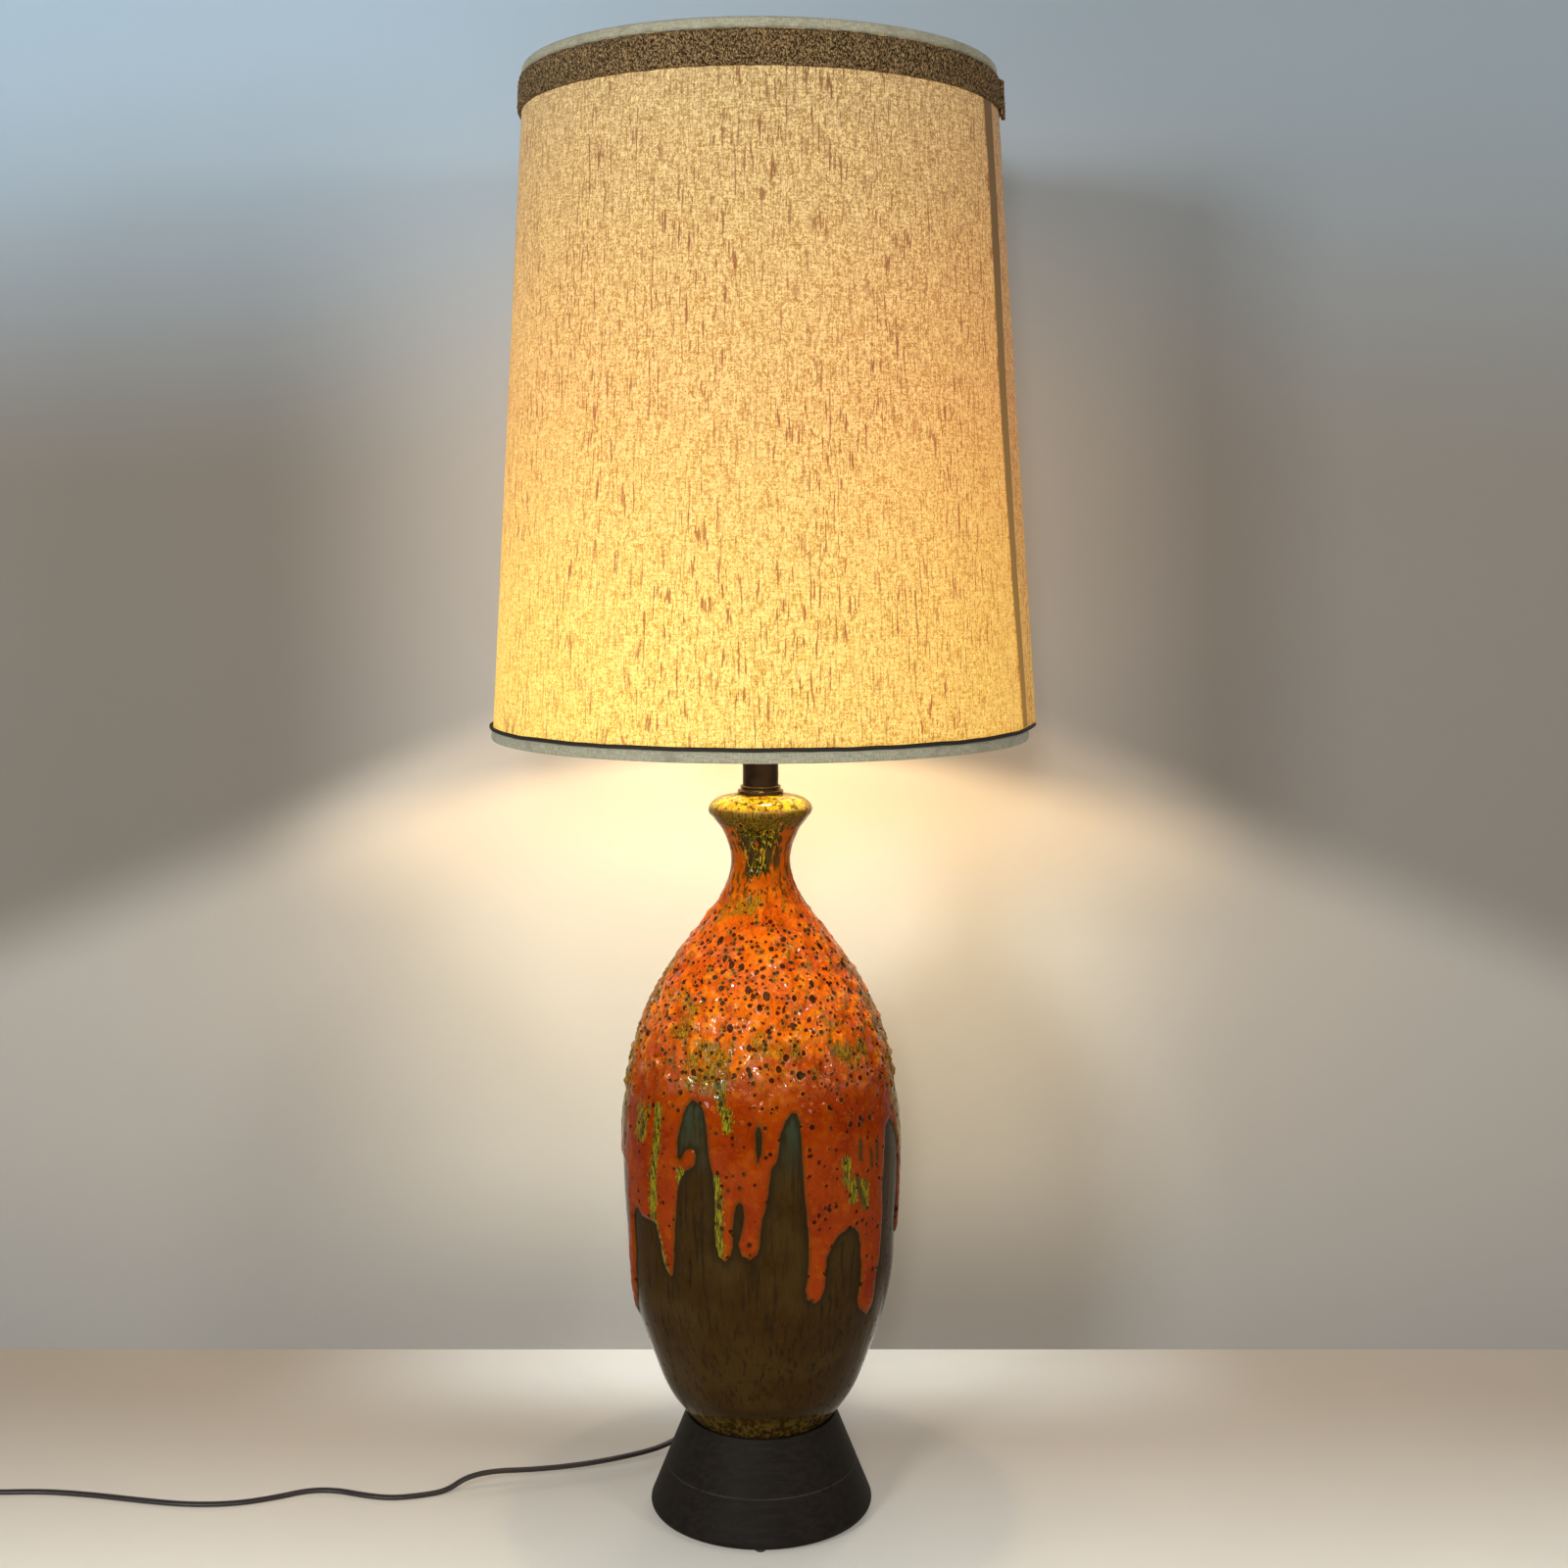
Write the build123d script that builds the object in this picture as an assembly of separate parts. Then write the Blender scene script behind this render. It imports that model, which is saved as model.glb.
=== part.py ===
from build123d import *
import math
import os

os.makedirs("parts", exist_ok=True)

# A tall ceramic table lamp, in millimetres. It stands on the floor at z = 0 with its axis on Z and
# its front towards -Y. The cord leaves the back of the base, turns to -X and lies on the floor.
# Every height below is a piece's own; where a piece stands is worked out from what carries it.

# Wooden base: two boards glued and turned to one taper, on small rubber feet
FOOT_HEIGHT = 2.5
FOOT_RADIUS = 4.5
FOOT_ROUND = 1.0
FOOT_EDGE_GAP = 1.2
FOOT_COUNT = 4
LOWER_BOARD = 35.5
UPPER_BOARD = 40.5
BASE_BOTTOM_RADIUS = 89.7
BASE_TOP_RADIUS = 59.4
BASE_BOTTOM_ROUND = 4.0
BASE_TOP_ROUND = 0.8
BASE_CAVITY_RADIUS = 48.0
CUP_RIM_WIDTH = 2.2
CUP_DEPTH = 8.0
NUT_POCKET_RADIUS = 20.0
NUT_POCKET_DEPTH = 14.0

# Ceramic body, as shares of its belly radius and of its height from the foot to the top
CERAMIC_HEIGHT = 500.5
CERAMIC_BELLY_RADIUS = 109.2
CERAMIC_WALL = 6.0
CERAMIC_FLOOR = 8.0
CERAMIC_LIP_THICKNESS = 9.0
CERAMIC_FOOT_INSET = 9.0
CUP_CLEARANCE = 0.6
CERAMIC_RIM_SHARE = 0.94
RING_LAND = 1.0
BELLY_SHARES = [
    (0.687, 0.0639),
    (0.932, 0.2118),
    (0.995, 0.3774),
    (1.006, 0.5065),
    (0.774, 0.6995),
]
SHOULDER_SHARE = (0.262, 0.8450)
NECK_SHARES = [
    (0.191, 0.8987),
    (0.255, 0.9429),
    (0.377, 0.9764),
    (0.317, 0.9936),
]
NECK_WAIST_SHARE = 0.205

# Lamp pipe that holds the whole stack together, its nut and washer under the base
PIPE_RADIUS = 5.0
PIPE_BORE_RADIUS = 3.5
PIPE_BELOW_NUT = 6.0
PIPE_INTO_CAP = 5.5
PIPE_HOLE_CLEARANCE = 0.6
PIPE_THREAD_CLEARANCE = 0.05
WASHER_RADIUS = 16.0
WASHER_THICKNESS = 1.6
NUT_FLATS = 14.3
NUT_THICKNESS = 4.0

# Ring and tube on the ceramic's top
RING_FLANGE_RADIUS = 17.7
RING_FLANGE_HEIGHT = 3.2
RING_WAIST_RADIUS = 14.3
RING_WAIST_HEIGHT = 1.2
RING_BEAD_RADIUS = 15.6
RING_BEAD_HEIGHT = 2.2
RING_EDGE = 0.6
TUBE_RADIUS = 13.7
TUBE_WALL = 0.8
TUBE_HEIGHT = 28.4

# Harp saddle: a folded strip with a tongue at each end, between the tube and its nut
STRIP_THICKNESS = 1.5
STRIP_WIDTH = 12.0
STRIP_FLAT_HALF = 19.0
STRIP_RISE = 7.5
SHOULDER_HEIGHT = 13.0
TONGUE_WIDTH = 6.0
TONGUE_LENGTH = 14.0
TONGUE_STEP = 1.8
SADDLE_EYE_RADIUS = 9.5
SADDLE_NUT_THICKNESS = 3.0

# Harp: one bow of wire with flat feet that stand outside the tongues
HARP_LEG_RADIUS = 28.95
HARP_WIRE_RADIUS = 2.1
HARP_FOOT_THICKNESS = 1.5
HARP_FOOT_WIDTH = 6.0
HARP_FOOT_GAP = 0.3
HARP_WIRE_START_GAP = 1.0
HARP_LEG_LENGTH = 28.0
HARP_SHOULDER_RISE = 53.0
HARP_BOW_HALF_WIDTH = 57.5
HARP_STRAIGHT = 85.0
HARP_HEIGHT = 370.0
HARP_TOP_HALF_WIDTH = 33.0
HARP_LOWER_BEND = 60.0
HARP_SIDE_BEND = 80.0
HARP_UPPER_BEND = 400.0
HARP_TOP_BEND = 26.0
HARP_PAD_LENGTH = 22.0
HARP_PAD_WIDTH = 10.0
FERRULE_RADIUS = 4.9
FERRULE_BORE_RADIUS = 3.8
FERRULE_LENGTH = 13.0
FERRULE_EDGE = 0.4

# Swivel stud at the harp's top, and the turned finial
SWIVEL_PIN_RADIUS = 2.5
SWIVEL_PIN_CLEARANCE = 0.08
SWIVEL_HEAD_RADIUS = 4.2
SWIVEL_HEAD_HEIGHT = 1.8
SWIVEL_HEAD_GAP = 0.3
SWIVEL_SEAT_RADIUS = 6.5
SWIVEL_SEAT_HEIGHT = 2.5
STUD_RADIUS = 3.1
STUD_LENGTH = 16.0
FINIAL_HEIGHT = 30.0
FINIAL_BASE_RADIUS = 7.0
FINIAL_WAIST_RADIUS = 3.9
FINIAL_BALL_RADIUS = 7.5
FINIAL_BORE_CLEARANCE = 0.08
FINIAL_WALL = 0.75

# Socket: cap, shell, card liner, moulded body, threaded shell, contact, screws and turn key
CAP_HUB_RADIUS = 7.5
CAP_HUB_HEIGHT = 7.5
CAP_RADIUS = 17.7
CAP_WALL = 0.7
CAP_DOME_HEIGHT = 10.0
CAP_DOME_RADIUS = 8.0
CAP_CROWN_RISE = 1.6
CAP_SKIRT_HEIGHT = 5.0
SET_SCREW_RADIUS = 1.5
SET_SCREW_LENGTH = 5.0
SHELL_CLEARANCE = 0.15
SHELL_WALL = 0.5
SHELL_HEIGHT = 40.0
SHELL_BEAD = 0.6
LINER_CLEARANCE = 0.15
LINER_WALL = 0.6
LINER_SHORTER = 1.0
MOULDED_RADIUS = 15.4
MOULDED_HEIGHT = 17.0
MOULDED_FLAT = 11.0
MOULDED_FLAT_HEIGHT = 9.0
MOULDED_BORE_RADIUS = 4.0
SCREW_SHELL_RADIUS = 13.8
SCREW_SHELL_WALL = 0.4
SCREW_SHELL_HEIGHT = 22.0
SCREW_SHELL_FLOOR = 0.5
CONTACT_HOLE_RADIUS = 4.5
CONTACT_RADIUS = 3.5
CONTACT_THICKNESS = 0.8
TERMINAL_RADIUS = 3.0
TERMINAL_THICKNESS = 1.6
TERMINAL_DROP = 4.0
LEAD_RADIUS = 0.9
LEAD_SPLIT = 1.3
LEAD_RISE = 2.4
LEAD_BEND = 1.6
KEY_RISE = 12.0
KEY_SHAFT_RADIUS = 1.6
KEY_CLEARANCE = 0.3
KEY_SHAFT_INSIDE = 8.0
KEY_SHAFT_OUTSIDE = 12.0
KEY_KNOB_RADIUS = 5.2
KEY_KNOB_LENGTH = 14.0
KEY_KNOB_FLUTES = 8
KEY_FLUTE_RADIUS = 0.8
KEY_KNOB_ROUND = 1.0
KEY_KNOB_GAP = 4.0

# Bulb: a standard screw-base globe, switched on in use
BULB_CAP_RADIUS = 13.0
BULB_CAP_WALL = 0.4
BULB_CAP_HEIGHT = 21.0
BULB_TIP_RADIUS = 3.0
BULB_TIP_HEIGHT = 1.6
BULB_INSULATOR_HEIGHT = 3.0
BULB_INSULATOR_RADIUS = 4.2
BULB_NECK_RADIUS = 12.4
BULB_GLOBE_RADIUS = 30.0
BULB_GLASS_LENGTH = 86.0
BULB_GLASS_IN_CAP = 6.0
BULB_GLASS_WALL = 0.8
BULB_SHOULDER_RADIUS = 24.0
STEM_RADIUS = 3.0
STEM_HEIGHT = 34.0
FILAMENT_RADIUS = 0.5
FILAMENT_HALF_SPAN = 9.0
FILAMENT_RISE = 12.0

# Shade: fabric on a stiff liner, between a plain bottom ring and a dropped top fitter
SHADE_HEIGHT = 487.0
SHADE_BOTTOM_RADIUS = 202.8
SHADE_TOP_RADIUS = 172.6
FABRIC_THICKNESS = 0.6
LINER_THICKNESS = 0.5
RING_WIRE_RADIUS = 1.75
FITTER_DROP = 121.0
FITTER_WASHER_RADIUS = 13.0
FITTER_WASHER_THICKNESS = 1.6
FITTER_BORE_CLEARANCE = 0.25
FITTER_WIRE_RADIUS = 2.0
FITTER_ARM_COUNT = 3
FITTER_ARM_START = 9.2
FITTER_ARM_BEND = 14.0
FITTER_WALL_GAP = 2.5
TAPE_THICKNESS = 0.8
TAPE_GAP = 0.1
BOTTOM_TAPE_WIDTH = 7.2
TOP_TAPE_WIDTH = 7.0
TOP_TAPE_THICKNESS = 2.2
PIPING_RADIUS = 1.4
GIMP_WIDTH = 24.1
GIMP_THICKNESS = 3.4
GIMP_ROUND = 1.6
SEAM_WIDTH = 11.0
SEAM_THICKNESS = 0.9
SEAM_ANGLE = -15.5
TAIL_WIDTH = 13.0
TAIL_THICKNESS = 2.6
TAIL_HEIGHT = 27.0
TAIL_ANGLE = -8.0

# Cord: twin flex laid as one tube, with its bushing, coil and plug
CORD_RADIUS = 2.7
CORD_HEIGHT_AT_EXIT = 13.0
CORD_EXIT_ANGLE = 97.0
CORD_BEND_IN_BASE = 18.0
CORD_START_RUN = 11.5
BUSHING_BORE_CLEARANCE = 0.05
BUSHING_SEAT_DISTANCE = 81.5
BUSHING_FLANGE_RADIUS = 6.6
BUSHING_FLANGE_THICKNESS = 1.6
BUSHING_BARREL_RADIUS = 4.6
BUSHING_BARREL_LENGTH = 12.0
BUSHING_NOSE_LENGTH = 20.0
BUSHING_NOSE_BASE_RADIUS = 4.9
BUSHING_NOSE_TIP_RADIUS = 3.6
BUSHING_HOLE_CLEARANCE = 0.1
SPOT_FACE_CLEARANCE = 0.6
COIL_CENTRE = (-650.0, -26.0)
COIL_INNER_RADIUS = 19.2
COIL_TURN_GAP = 0.6
COIL_LEAD_IN = 28.0
COIL_HALF_TURNS = 6
PLUG_LENGTH = 26.0
PLUG_WIDTH = 25.0
PLUG_TAPER_WIDTH = 17.0
PLUG_ROUND = 3.0
PLUG_TAIL = 34.0
BLADE_SPACING = 12.7
BLADE_WIDTH = 6.35
BLADE_THICKNESS = 1.5
BLADE_LENGTH = 16.0
BLADE_HOLE_RADIUS = 1.6
BLADE_HOLE_INSET = 4.2

# The free cord's route after its straight start: it turns left behind the base, bridges down to
# the floor and wanders on it to the coil. The points are chosen by hand.
CORD_ROUTE = [
    (-21.2, 122.6, 13.0),
    (-32.5, 126.7, 13.0),
    (-46.2, 123.8, 12.8),
    (-62.0, 104.0, 12.5),
    (-81.0, 75.0, 12.1),
    (-107.0, 59.0, 11.4),
    (-146.0, 45.5, 9.6),
    (-187.0, 36.0, 8.8),
    (-224.0, 26.0, 7.6),
    (-250.0, 18.0, 4.6),
    (-273.0, 6.5, 2.7),
    (-297.0, 1.5, 2.7),
    (-321.0, 7.0, 2.7),
    (-343.0, 15.5, 2.7),
    (-366.0, 15.5, 2.7),
    (-389.0, 3.0, 2.7),
    (-419.0, -8.0, 2.7),
    (-457.0, -9.5, 2.7),
    (-497.0, -2.0, 2.7),
    (-538.0, 7.5, 2.7),
    (-579.0, 13.5, 2.7),
]

# Round pieces that lie against a face stand off it by this much
SEAT_CLEARANCE = 0.05

# Cuts run past a face by this much, and a right angle is named for the arrays
OVERRUN = 1.0
QUARTER_TURN = 90.0
FULL_TURN = 360.0

# Heights of the stack, each from the piece below it
base_bottom = FOOT_HEIGHT
base_joint = base_bottom + LOWER_BOARD
base_top = base_joint + UPPER_BOARD
cup_floor = base_top - CUP_DEPTH
cup_radius = BASE_TOP_RADIUS - CUP_RIM_WIDTH
pocket_ceiling = base_joint + NUT_POCKET_DEPTH
pipe_hole_radius = PIPE_RADIUS + PIPE_HOLE_CLEARANCE
thread_radius = PIPE_RADIUS + PIPE_THREAD_CLEARANCE
ceramic_top = cup_floor + CERAMIC_HEIGHT
ring_top = ceramic_top + RING_FLANGE_HEIGHT + RING_WAIST_HEIGHT + RING_BEAD_HEIGHT
tube_top = ring_top + TUBE_HEIGHT
saddle_top = tube_top + STRIP_THICKNESS
shoulder_z = tube_top + SHOULDER_HEIGHT
socket_z = saddle_top + SADDLE_NUT_THICKNESS
pipe_bottom = pocket_ceiling - WASHER_THICKNESS - NUT_THICKNESS - PIPE_BELOW_NUT
pipe_top = socket_z + PIPE_INTO_CAP

# Heights and radii inside the socket
cap_hub_top = socket_z + CAP_HUB_HEIGHT
cap_rim = cap_hub_top + CAP_DOME_HEIGHT + CAP_SKIRT_HEIGHT
shell_radius = CAP_RADIUS - CAP_WALL - SHELL_CLEARANCE
shell_bottom = cap_hub_top + CAP_DOME_HEIGHT + SHELL_CLEARANCE
shell_top = shell_bottom + SHELL_HEIGHT
liner_radius = shell_radius - SHELL_WALL - LINER_CLEARANCE
liner_bottom = shell_bottom
moulded_bottom = shell_bottom
moulded_top = moulded_bottom + MOULDED_HEIGHT
key_z = moulded_bottom + KEY_RISE
terminal_z = moulded_bottom + TERMINAL_DROP
contact_z = moulded_top
bulb_tip_z = contact_z + CONTACT_THICKNESS
bulb_cap_z = bulb_tip_z + BULB_TIP_HEIGHT + BULB_INSULATOR_HEIGHT
bulb_neck_z = bulb_cap_z + BULB_CAP_HEIGHT

# Harp and shade heights
harp_top = shoulder_z + HARP_HEIGHT - SHOULDER_HEIGHT
harp_pad_top = harp_top + HARP_WIRE_RADIUS
seat_top = harp_pad_top + SWIVEL_SEAT_HEIGHT
washer_top = seat_top + FITTER_WASHER_THICKNESS
arm_z = seat_top + FITTER_WIRE_RADIUS
shade_top = arm_z + FITTER_DROP
shade_bottom = shade_top - SHADE_HEIGHT
tongue_outside = HARP_LEG_RADIUS - HARP_FOOT_THICKNESS / 2 - HARP_FOOT_GAP
arm_outside = tongue_outside + TONGUE_STEP
ferrule_centre = tongue_outside + HARP_FOOT_GAP / 2

# The cord's exit, a level line out of the back of the base
exit_direction = Vector(
    math.cos(math.radians(CORD_EXIT_ANGLE)), math.sin(math.radians(CORD_EXIT_ANGLE)), 0
)
exit_distance = BUSHING_SEAT_DISTANCE + BUSHING_FLANGE_THICKNESS + BUSHING_NOSE_LENGTH
exit_axis_point = Vector(0, 0, CORD_HEIGHT_AT_EXIT)
exit_point = exit_axis_point + exit_direction * exit_distance
cord_diameter = 2 * CORD_RADIUS


def turned(points):
    """A solid turned about Z from the closed outline of its (radius, height) points."""
    return revolve(Plane.XZ * make_face(Polyline(*points, close=True)), axis=Axis.Z)


def tube(outer, inner, bottom, top):
    """A straight round tube about Z."""
    return turned([(inner, bottom), (outer, bottom), (outer, top), (inner, top)])


def hexagon(flats, bottom, height, hole):
    """A hexagonal nut about Z with a round hole."""
    blank = extrude(RegularPolygon(flats / 2, 6, major_radius=False), height)
    return Pos(0, 0, bottom) * (blank - extrude(Circle(hole), height))


def wire_tube(path, radius):
    """A round wire along a path of tangent lines and arcs."""
    return sweep(Plane(path @ 0, z_dir=path % 0) * Circle(radius), path=path)


def widest_rims(solid, least):
    """The solid's round edges of at least that radius."""
    circles = solid.edges().filter_by(GeomType.CIRCLE)
    return [edge for edge in circles if edge.radius > least - PIPE_THREAD_CLEARANCE]


def base_radius(height):
    """The taper's radius at a height between the base's bottom and its rim."""
    share = (height - base_bottom) / (base_top - base_bottom)
    return BASE_BOTTOM_RADIUS + (BASE_TOP_RADIUS - BASE_BOTTOM_RADIUS) * share


def along_exit(solid):
    """Lay a solid that was made along Z on the cord's exit line."""
    return Plane(exit_axis_point, z_dir=exit_direction).location * solid


def wood_base_lower():
    """Lower board: a tapered ring with a rounded bottom edge and the cord's hole."""
    board = turned(
        [
            (BASE_CAVITY_RADIUS, base_bottom),
            (BASE_BOTTOM_RADIUS, base_bottom),
            (base_radius(base_joint), base_joint),
            (BASE_CAVITY_RADIUS, base_joint),
        ]
    )
    board = fillet(widest_rims(board, BASE_BOTTOM_RADIUS), BASE_BOTTOM_ROUND)
    hole_radius = BUSHING_BARREL_RADIUS + BUSHING_HOLE_CLEARANCE
    face_radius = BUSHING_FLANGE_RADIUS + SPOT_FACE_CLEARANCE
    hole = Pos(0, 0, BASE_BOTTOM_RADIUS / 2) * Cylinder(hole_radius, BASE_BOTTOM_RADIUS)
    spot = Pos(0, 0, BUSHING_SEAT_DISTANCE + BASE_BOTTOM_RADIUS / 2) * Cylinder(
        face_radius, BASE_BOTTOM_RADIUS
    )
    return board - along_exit(hole) - along_exit(spot)


def wood_base_upper():
    """Upper board: the taper goes on to the rim, with a cup above and a nut pocket below."""
    board = turned(
        [
            (pipe_hole_radius, pocket_ceiling),
            (NUT_POCKET_RADIUS, pocket_ceiling),
            (NUT_POCKET_RADIUS, base_joint),
            (base_radius(base_joint), base_joint),
            (BASE_TOP_RADIUS, base_top),
            (cup_radius, base_top),
            (cup_radius, cup_floor),
            (pipe_hole_radius, cup_floor),
        ]
    )
    rims = [edge for edge in widest_rims(board, cup_radius) if edge.center().Z > cup_floor]
    return fillet([edge for edge in rims if edge.center().Z > base_top - OVERRUN], BASE_TOP_ROUND)


def rubber_feet():
    """Four small round feet under the base's edge, the first at the front."""
    circle = BASE_BOTTOM_RADIUS - BASE_BOTTOM_ROUND - FOOT_RADIUS - FOOT_EDGE_GAP
    foot = turned(
        [
            (0, 0),
            (FOOT_RADIUS - FOOT_ROUND, 0),
            (FOOT_RADIUS, FOOT_ROUND),
            (FOOT_RADIUS, FOOT_HEIGHT),
            (0, FOOT_HEIGHT),
        ]
    )
    step = FULL_TURN / FOOT_COUNT
    return [Rot(0, 0, n * step) * Pos(0, -circle, 0) * foot for n in range(FOOT_COUNT)]


def corner_radii(points):
    """Each corner's largest arc: 0.45 of the shorter run over the tangent of half the turn."""
    run_share = 0.45
    corners = [Vector(*point) for point in points]
    radii = []
    for before, here, after in zip(corners, corners[1:], corners[2:]):
        run_in = here - before
        run_out = after - here
        turn = math.radians(run_in.get_angle(run_out))
        shorter = min(run_in.length, run_out.length)
        radii.append(run_share * shorter / math.tan(turn / 2))
    return radii


def soft_line(points):
    """Straight runs through the points with the largest tangent arc at each corner."""
    return FilletPolyline(*points, radius=corner_radii(points))


def ceramic_point(share):
    """A corner of the ceramic's outline from its share of the belly and of the height."""
    return CERAMIC_BELLY_RADIUS * share[0], cup_floor + CERAMIC_HEIGHT * share[1]


def ceramic_body():
    """The thrown bottle: a hollow belly, a narrow neck, a flared lip and a pipe hole through."""
    foot_radius = cup_radius - CUP_CLEARANCE
    foot = [
        (foot_radius - CERAMIC_FOOT_INSET, cup_floor),
        (foot_radius, cup_floor + CUP_DEPTH * CERAMIC_RIM_SHARE),
    ]
    belly = [ceramic_point(share) for share in BELLY_SHARES]
    shoulder = ceramic_point(SHOULDER_SHARE)
    neck = [ceramic_point(share) for share in NECK_SHARES]
    land = (RING_FLANGE_RADIUS + RING_LAND, ceramic_top)
    inner_floor = cup_floor + CERAMIC_FLOOR
    lip_floor = ceramic_top - CERAMIC_LIP_THICKNESS
    neck_bore = CERAMIC_BELLY_RADIUS * NECK_WAIST_SHARE - CERAMIC_WALL
    inside = [(foot_radius - CERAMIC_WALL, inner_floor)]
    inside += [(radius - CERAMIC_WALL, height) for radius, height in belly]
    inside += [(neck_bore, shoulder[1]), (neck_bore, lip_floor)]
    edges = [
        soft_line(foot + belly + [shoulder] + neck + [land]),
        Polyline(
            land,
            (pipe_hole_radius, ceramic_top),
            (pipe_hole_radius, lip_floor),
            inside[-1],
        ),
        soft_line(inside),
        Polyline(
            inside[0],
            (pipe_hole_radius, inner_floor),
            (pipe_hole_radius, cup_floor),
            foot[0],
        ),
    ]
    return revolve(Plane.XZ * make_face(edges), axis=Axis.Z)


def base_washer():
    """Steel washer against the pocket's ceiling."""
    top = pocket_ceiling
    return tube(WASHER_RADIUS, pipe_hole_radius, top - WASHER_THICKNESS, top)


def base_locknut():
    """Hexagonal nut that pulls the pipe tight."""
    top = pocket_ceiling - WASHER_THICKNESS
    return hexagon(NUT_FLATS, top - NUT_THICKNESS, NUT_THICKNESS, thread_radius)


def lamp_pipe():
    """Hollow pipe from the nut under the base up into the socket's cap."""
    return tube(PIPE_RADIUS, PIPE_BORE_RADIUS, pipe_bottom, pipe_top)


def neck_ring():
    """Turned brass ring: a wide flange, a waist and a bead under the tube."""
    waist_bottom = ceramic_top + RING_FLANGE_HEIGHT
    waist_top = waist_bottom + RING_WAIST_HEIGHT
    ring = turned(
        [
            (thread_radius, ceramic_top),
            (RING_FLANGE_RADIUS, ceramic_top),
            (RING_FLANGE_RADIUS, waist_bottom),
            (RING_WAIST_RADIUS, waist_bottom),
            (RING_WAIST_RADIUS, waist_top),
            (RING_BEAD_RADIUS, waist_top),
            (RING_BEAD_RADIUS, ring_top),
            (thread_radius, ring_top),
        ]
    )
    return chamfer(widest_rims(ring, RING_BEAD_RADIUS), RING_EDGE)


def neck_tube():
    """Spun tube with a closed top, between the ring and the saddle."""
    ceiling = tube_top - TUBE_WALL
    return turned(
        [
            (TUBE_RADIUS - TUBE_WALL, ring_top),
            (TUBE_RADIUS, ring_top),
            (TUBE_RADIUS, tube_top),
            (thread_radius, tube_top),
            (thread_radius, ceiling),
            (TUBE_RADIUS - TUBE_WALL, ceiling),
        ]
    )


def harp_saddle():
    """Folded strip: a flat eye on the pipe, two rising arms, and a joggled tongue on each."""
    tongue_inside = tongue_outside - STRIP_THICKNESS
    arm_inside = arm_outside - STRIP_THICKNESS
    ledge_bottom = shoulder_z - STRIP_THICKNESS
    elbow_z = tube_top + STRIP_RISE
    half = [
        (0, tube_top),
        (STRIP_FLAT_HALF, tube_top),
        (arm_outside, elbow_z),
        (arm_outside, shoulder_z),
        (tongue_outside, shoulder_z),
        (tongue_outside, shoulder_z + TONGUE_LENGTH),
        (tongue_inside, shoulder_z + TONGUE_LENGTH),
        (tongue_inside, ledge_bottom),
        (arm_inside, ledge_bottom),
        (arm_inside, elbow_z + STRIP_THICKNESS / 2),
        (STRIP_FLAT_HALF - STRIP_THICKNESS / 2, saddle_top),
        (0, saddle_top),
    ]
    side = Plane.XZ * make_face(Polyline(*half, close=True))
    arm = extrude(side, STRIP_WIDTH / 2, both=True)
    reach = Pos(tongue_outside, 0, shoulder_z + TONGUE_LENGTH / 2)
    ear_width = (STRIP_WIDTH - TONGUE_WIDTH) / 2
    for turn in (-1, 1):
        ear_y = turn * (TONGUE_WIDTH + ear_width) / 2
        ear = Box(STRIP_WIDTH, ear_width, TONGUE_LENGTH)
        arm -= reach * Pos(0, ear_y, 0) * ear
    eye = Pos(0, 0, tube_top) * extrude(Circle(SADDLE_EYE_RADIUS), STRIP_THICKNESS)
    strip = arm + mirror(arm, Plane.YZ) + eye
    hole = Pos(0, 0, tube_top) * extrude(Circle(thread_radius), STRIP_THICKNESS)
    return strip - hole


def saddle_locknut():
    """Thin hexagonal nut that clamps the saddle on the tube."""
    return hexagon(NUT_FLATS, saddle_top, SADDLE_NUT_THICKNESS, thread_radius)


def socket_cap():
    """Brass cup of the socket: a threaded hub, a domed wall and a straight skirt."""
    crown = cap_hub_top + CAP_CROWN_RISE
    inner = CAP_RADIUS - CAP_WALL
    dome = FilletPolyline(
        (CAP_HUB_RADIUS, cap_hub_top),
        (CAP_RADIUS, crown),
        (CAP_RADIUS, cap_rim),
        radius=[CAP_DOME_RADIUS],
    )
    lining = FilletPolyline(
        (inner, cap_rim),
        (inner, crown + CAP_WALL),
        (CAP_HUB_RADIUS, cap_hub_top + CAP_WALL),
        radius=[CAP_DOME_RADIUS - CAP_WALL],
    )
    edges = [
        Polyline((thread_radius, socket_z), (CAP_HUB_RADIUS, socket_z), dome @ 0),
        dome,
        Line(dome @ 1, lining @ 0),
        lining,
        Polyline(
            lining @ 1,
            (thread_radius, cap_hub_top + CAP_WALL),
            (thread_radius, socket_z),
        ),
    ]
    cap = revolve(Plane.XZ * make_face(edges), axis=Axis.Z)
    return cap - set_screw_cut()


def set_screw_place():
    """Where the hub's set screw lies: level, out of the back of the hub."""
    return Pos(0, 0, socket_z + CAP_HUB_HEIGHT / 2) * Rot(-QUARTER_TURN, 0, 0)


def set_screw_cut():
    """The threaded hole for the set screw."""
    hole = Cylinder(SET_SCREW_RADIUS + PIPE_THREAD_CLEARANCE, CAP_HUB_RADIUS + OVERRUN)
    return set_screw_place() * Pos(0, 0, (CAP_HUB_RADIUS + OVERRUN) / 2) * hole


def cap_set_screw():
    """Small headless screw in the hub, its tip on the pipe."""
    screw = Cylinder(SET_SCREW_RADIUS, SET_SCREW_LENGTH)
    middle = PIPE_RADIUS + SET_SCREW_LENGTH / 2
    return set_screw_place() * Pos(0, 0, middle) * screw


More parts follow.
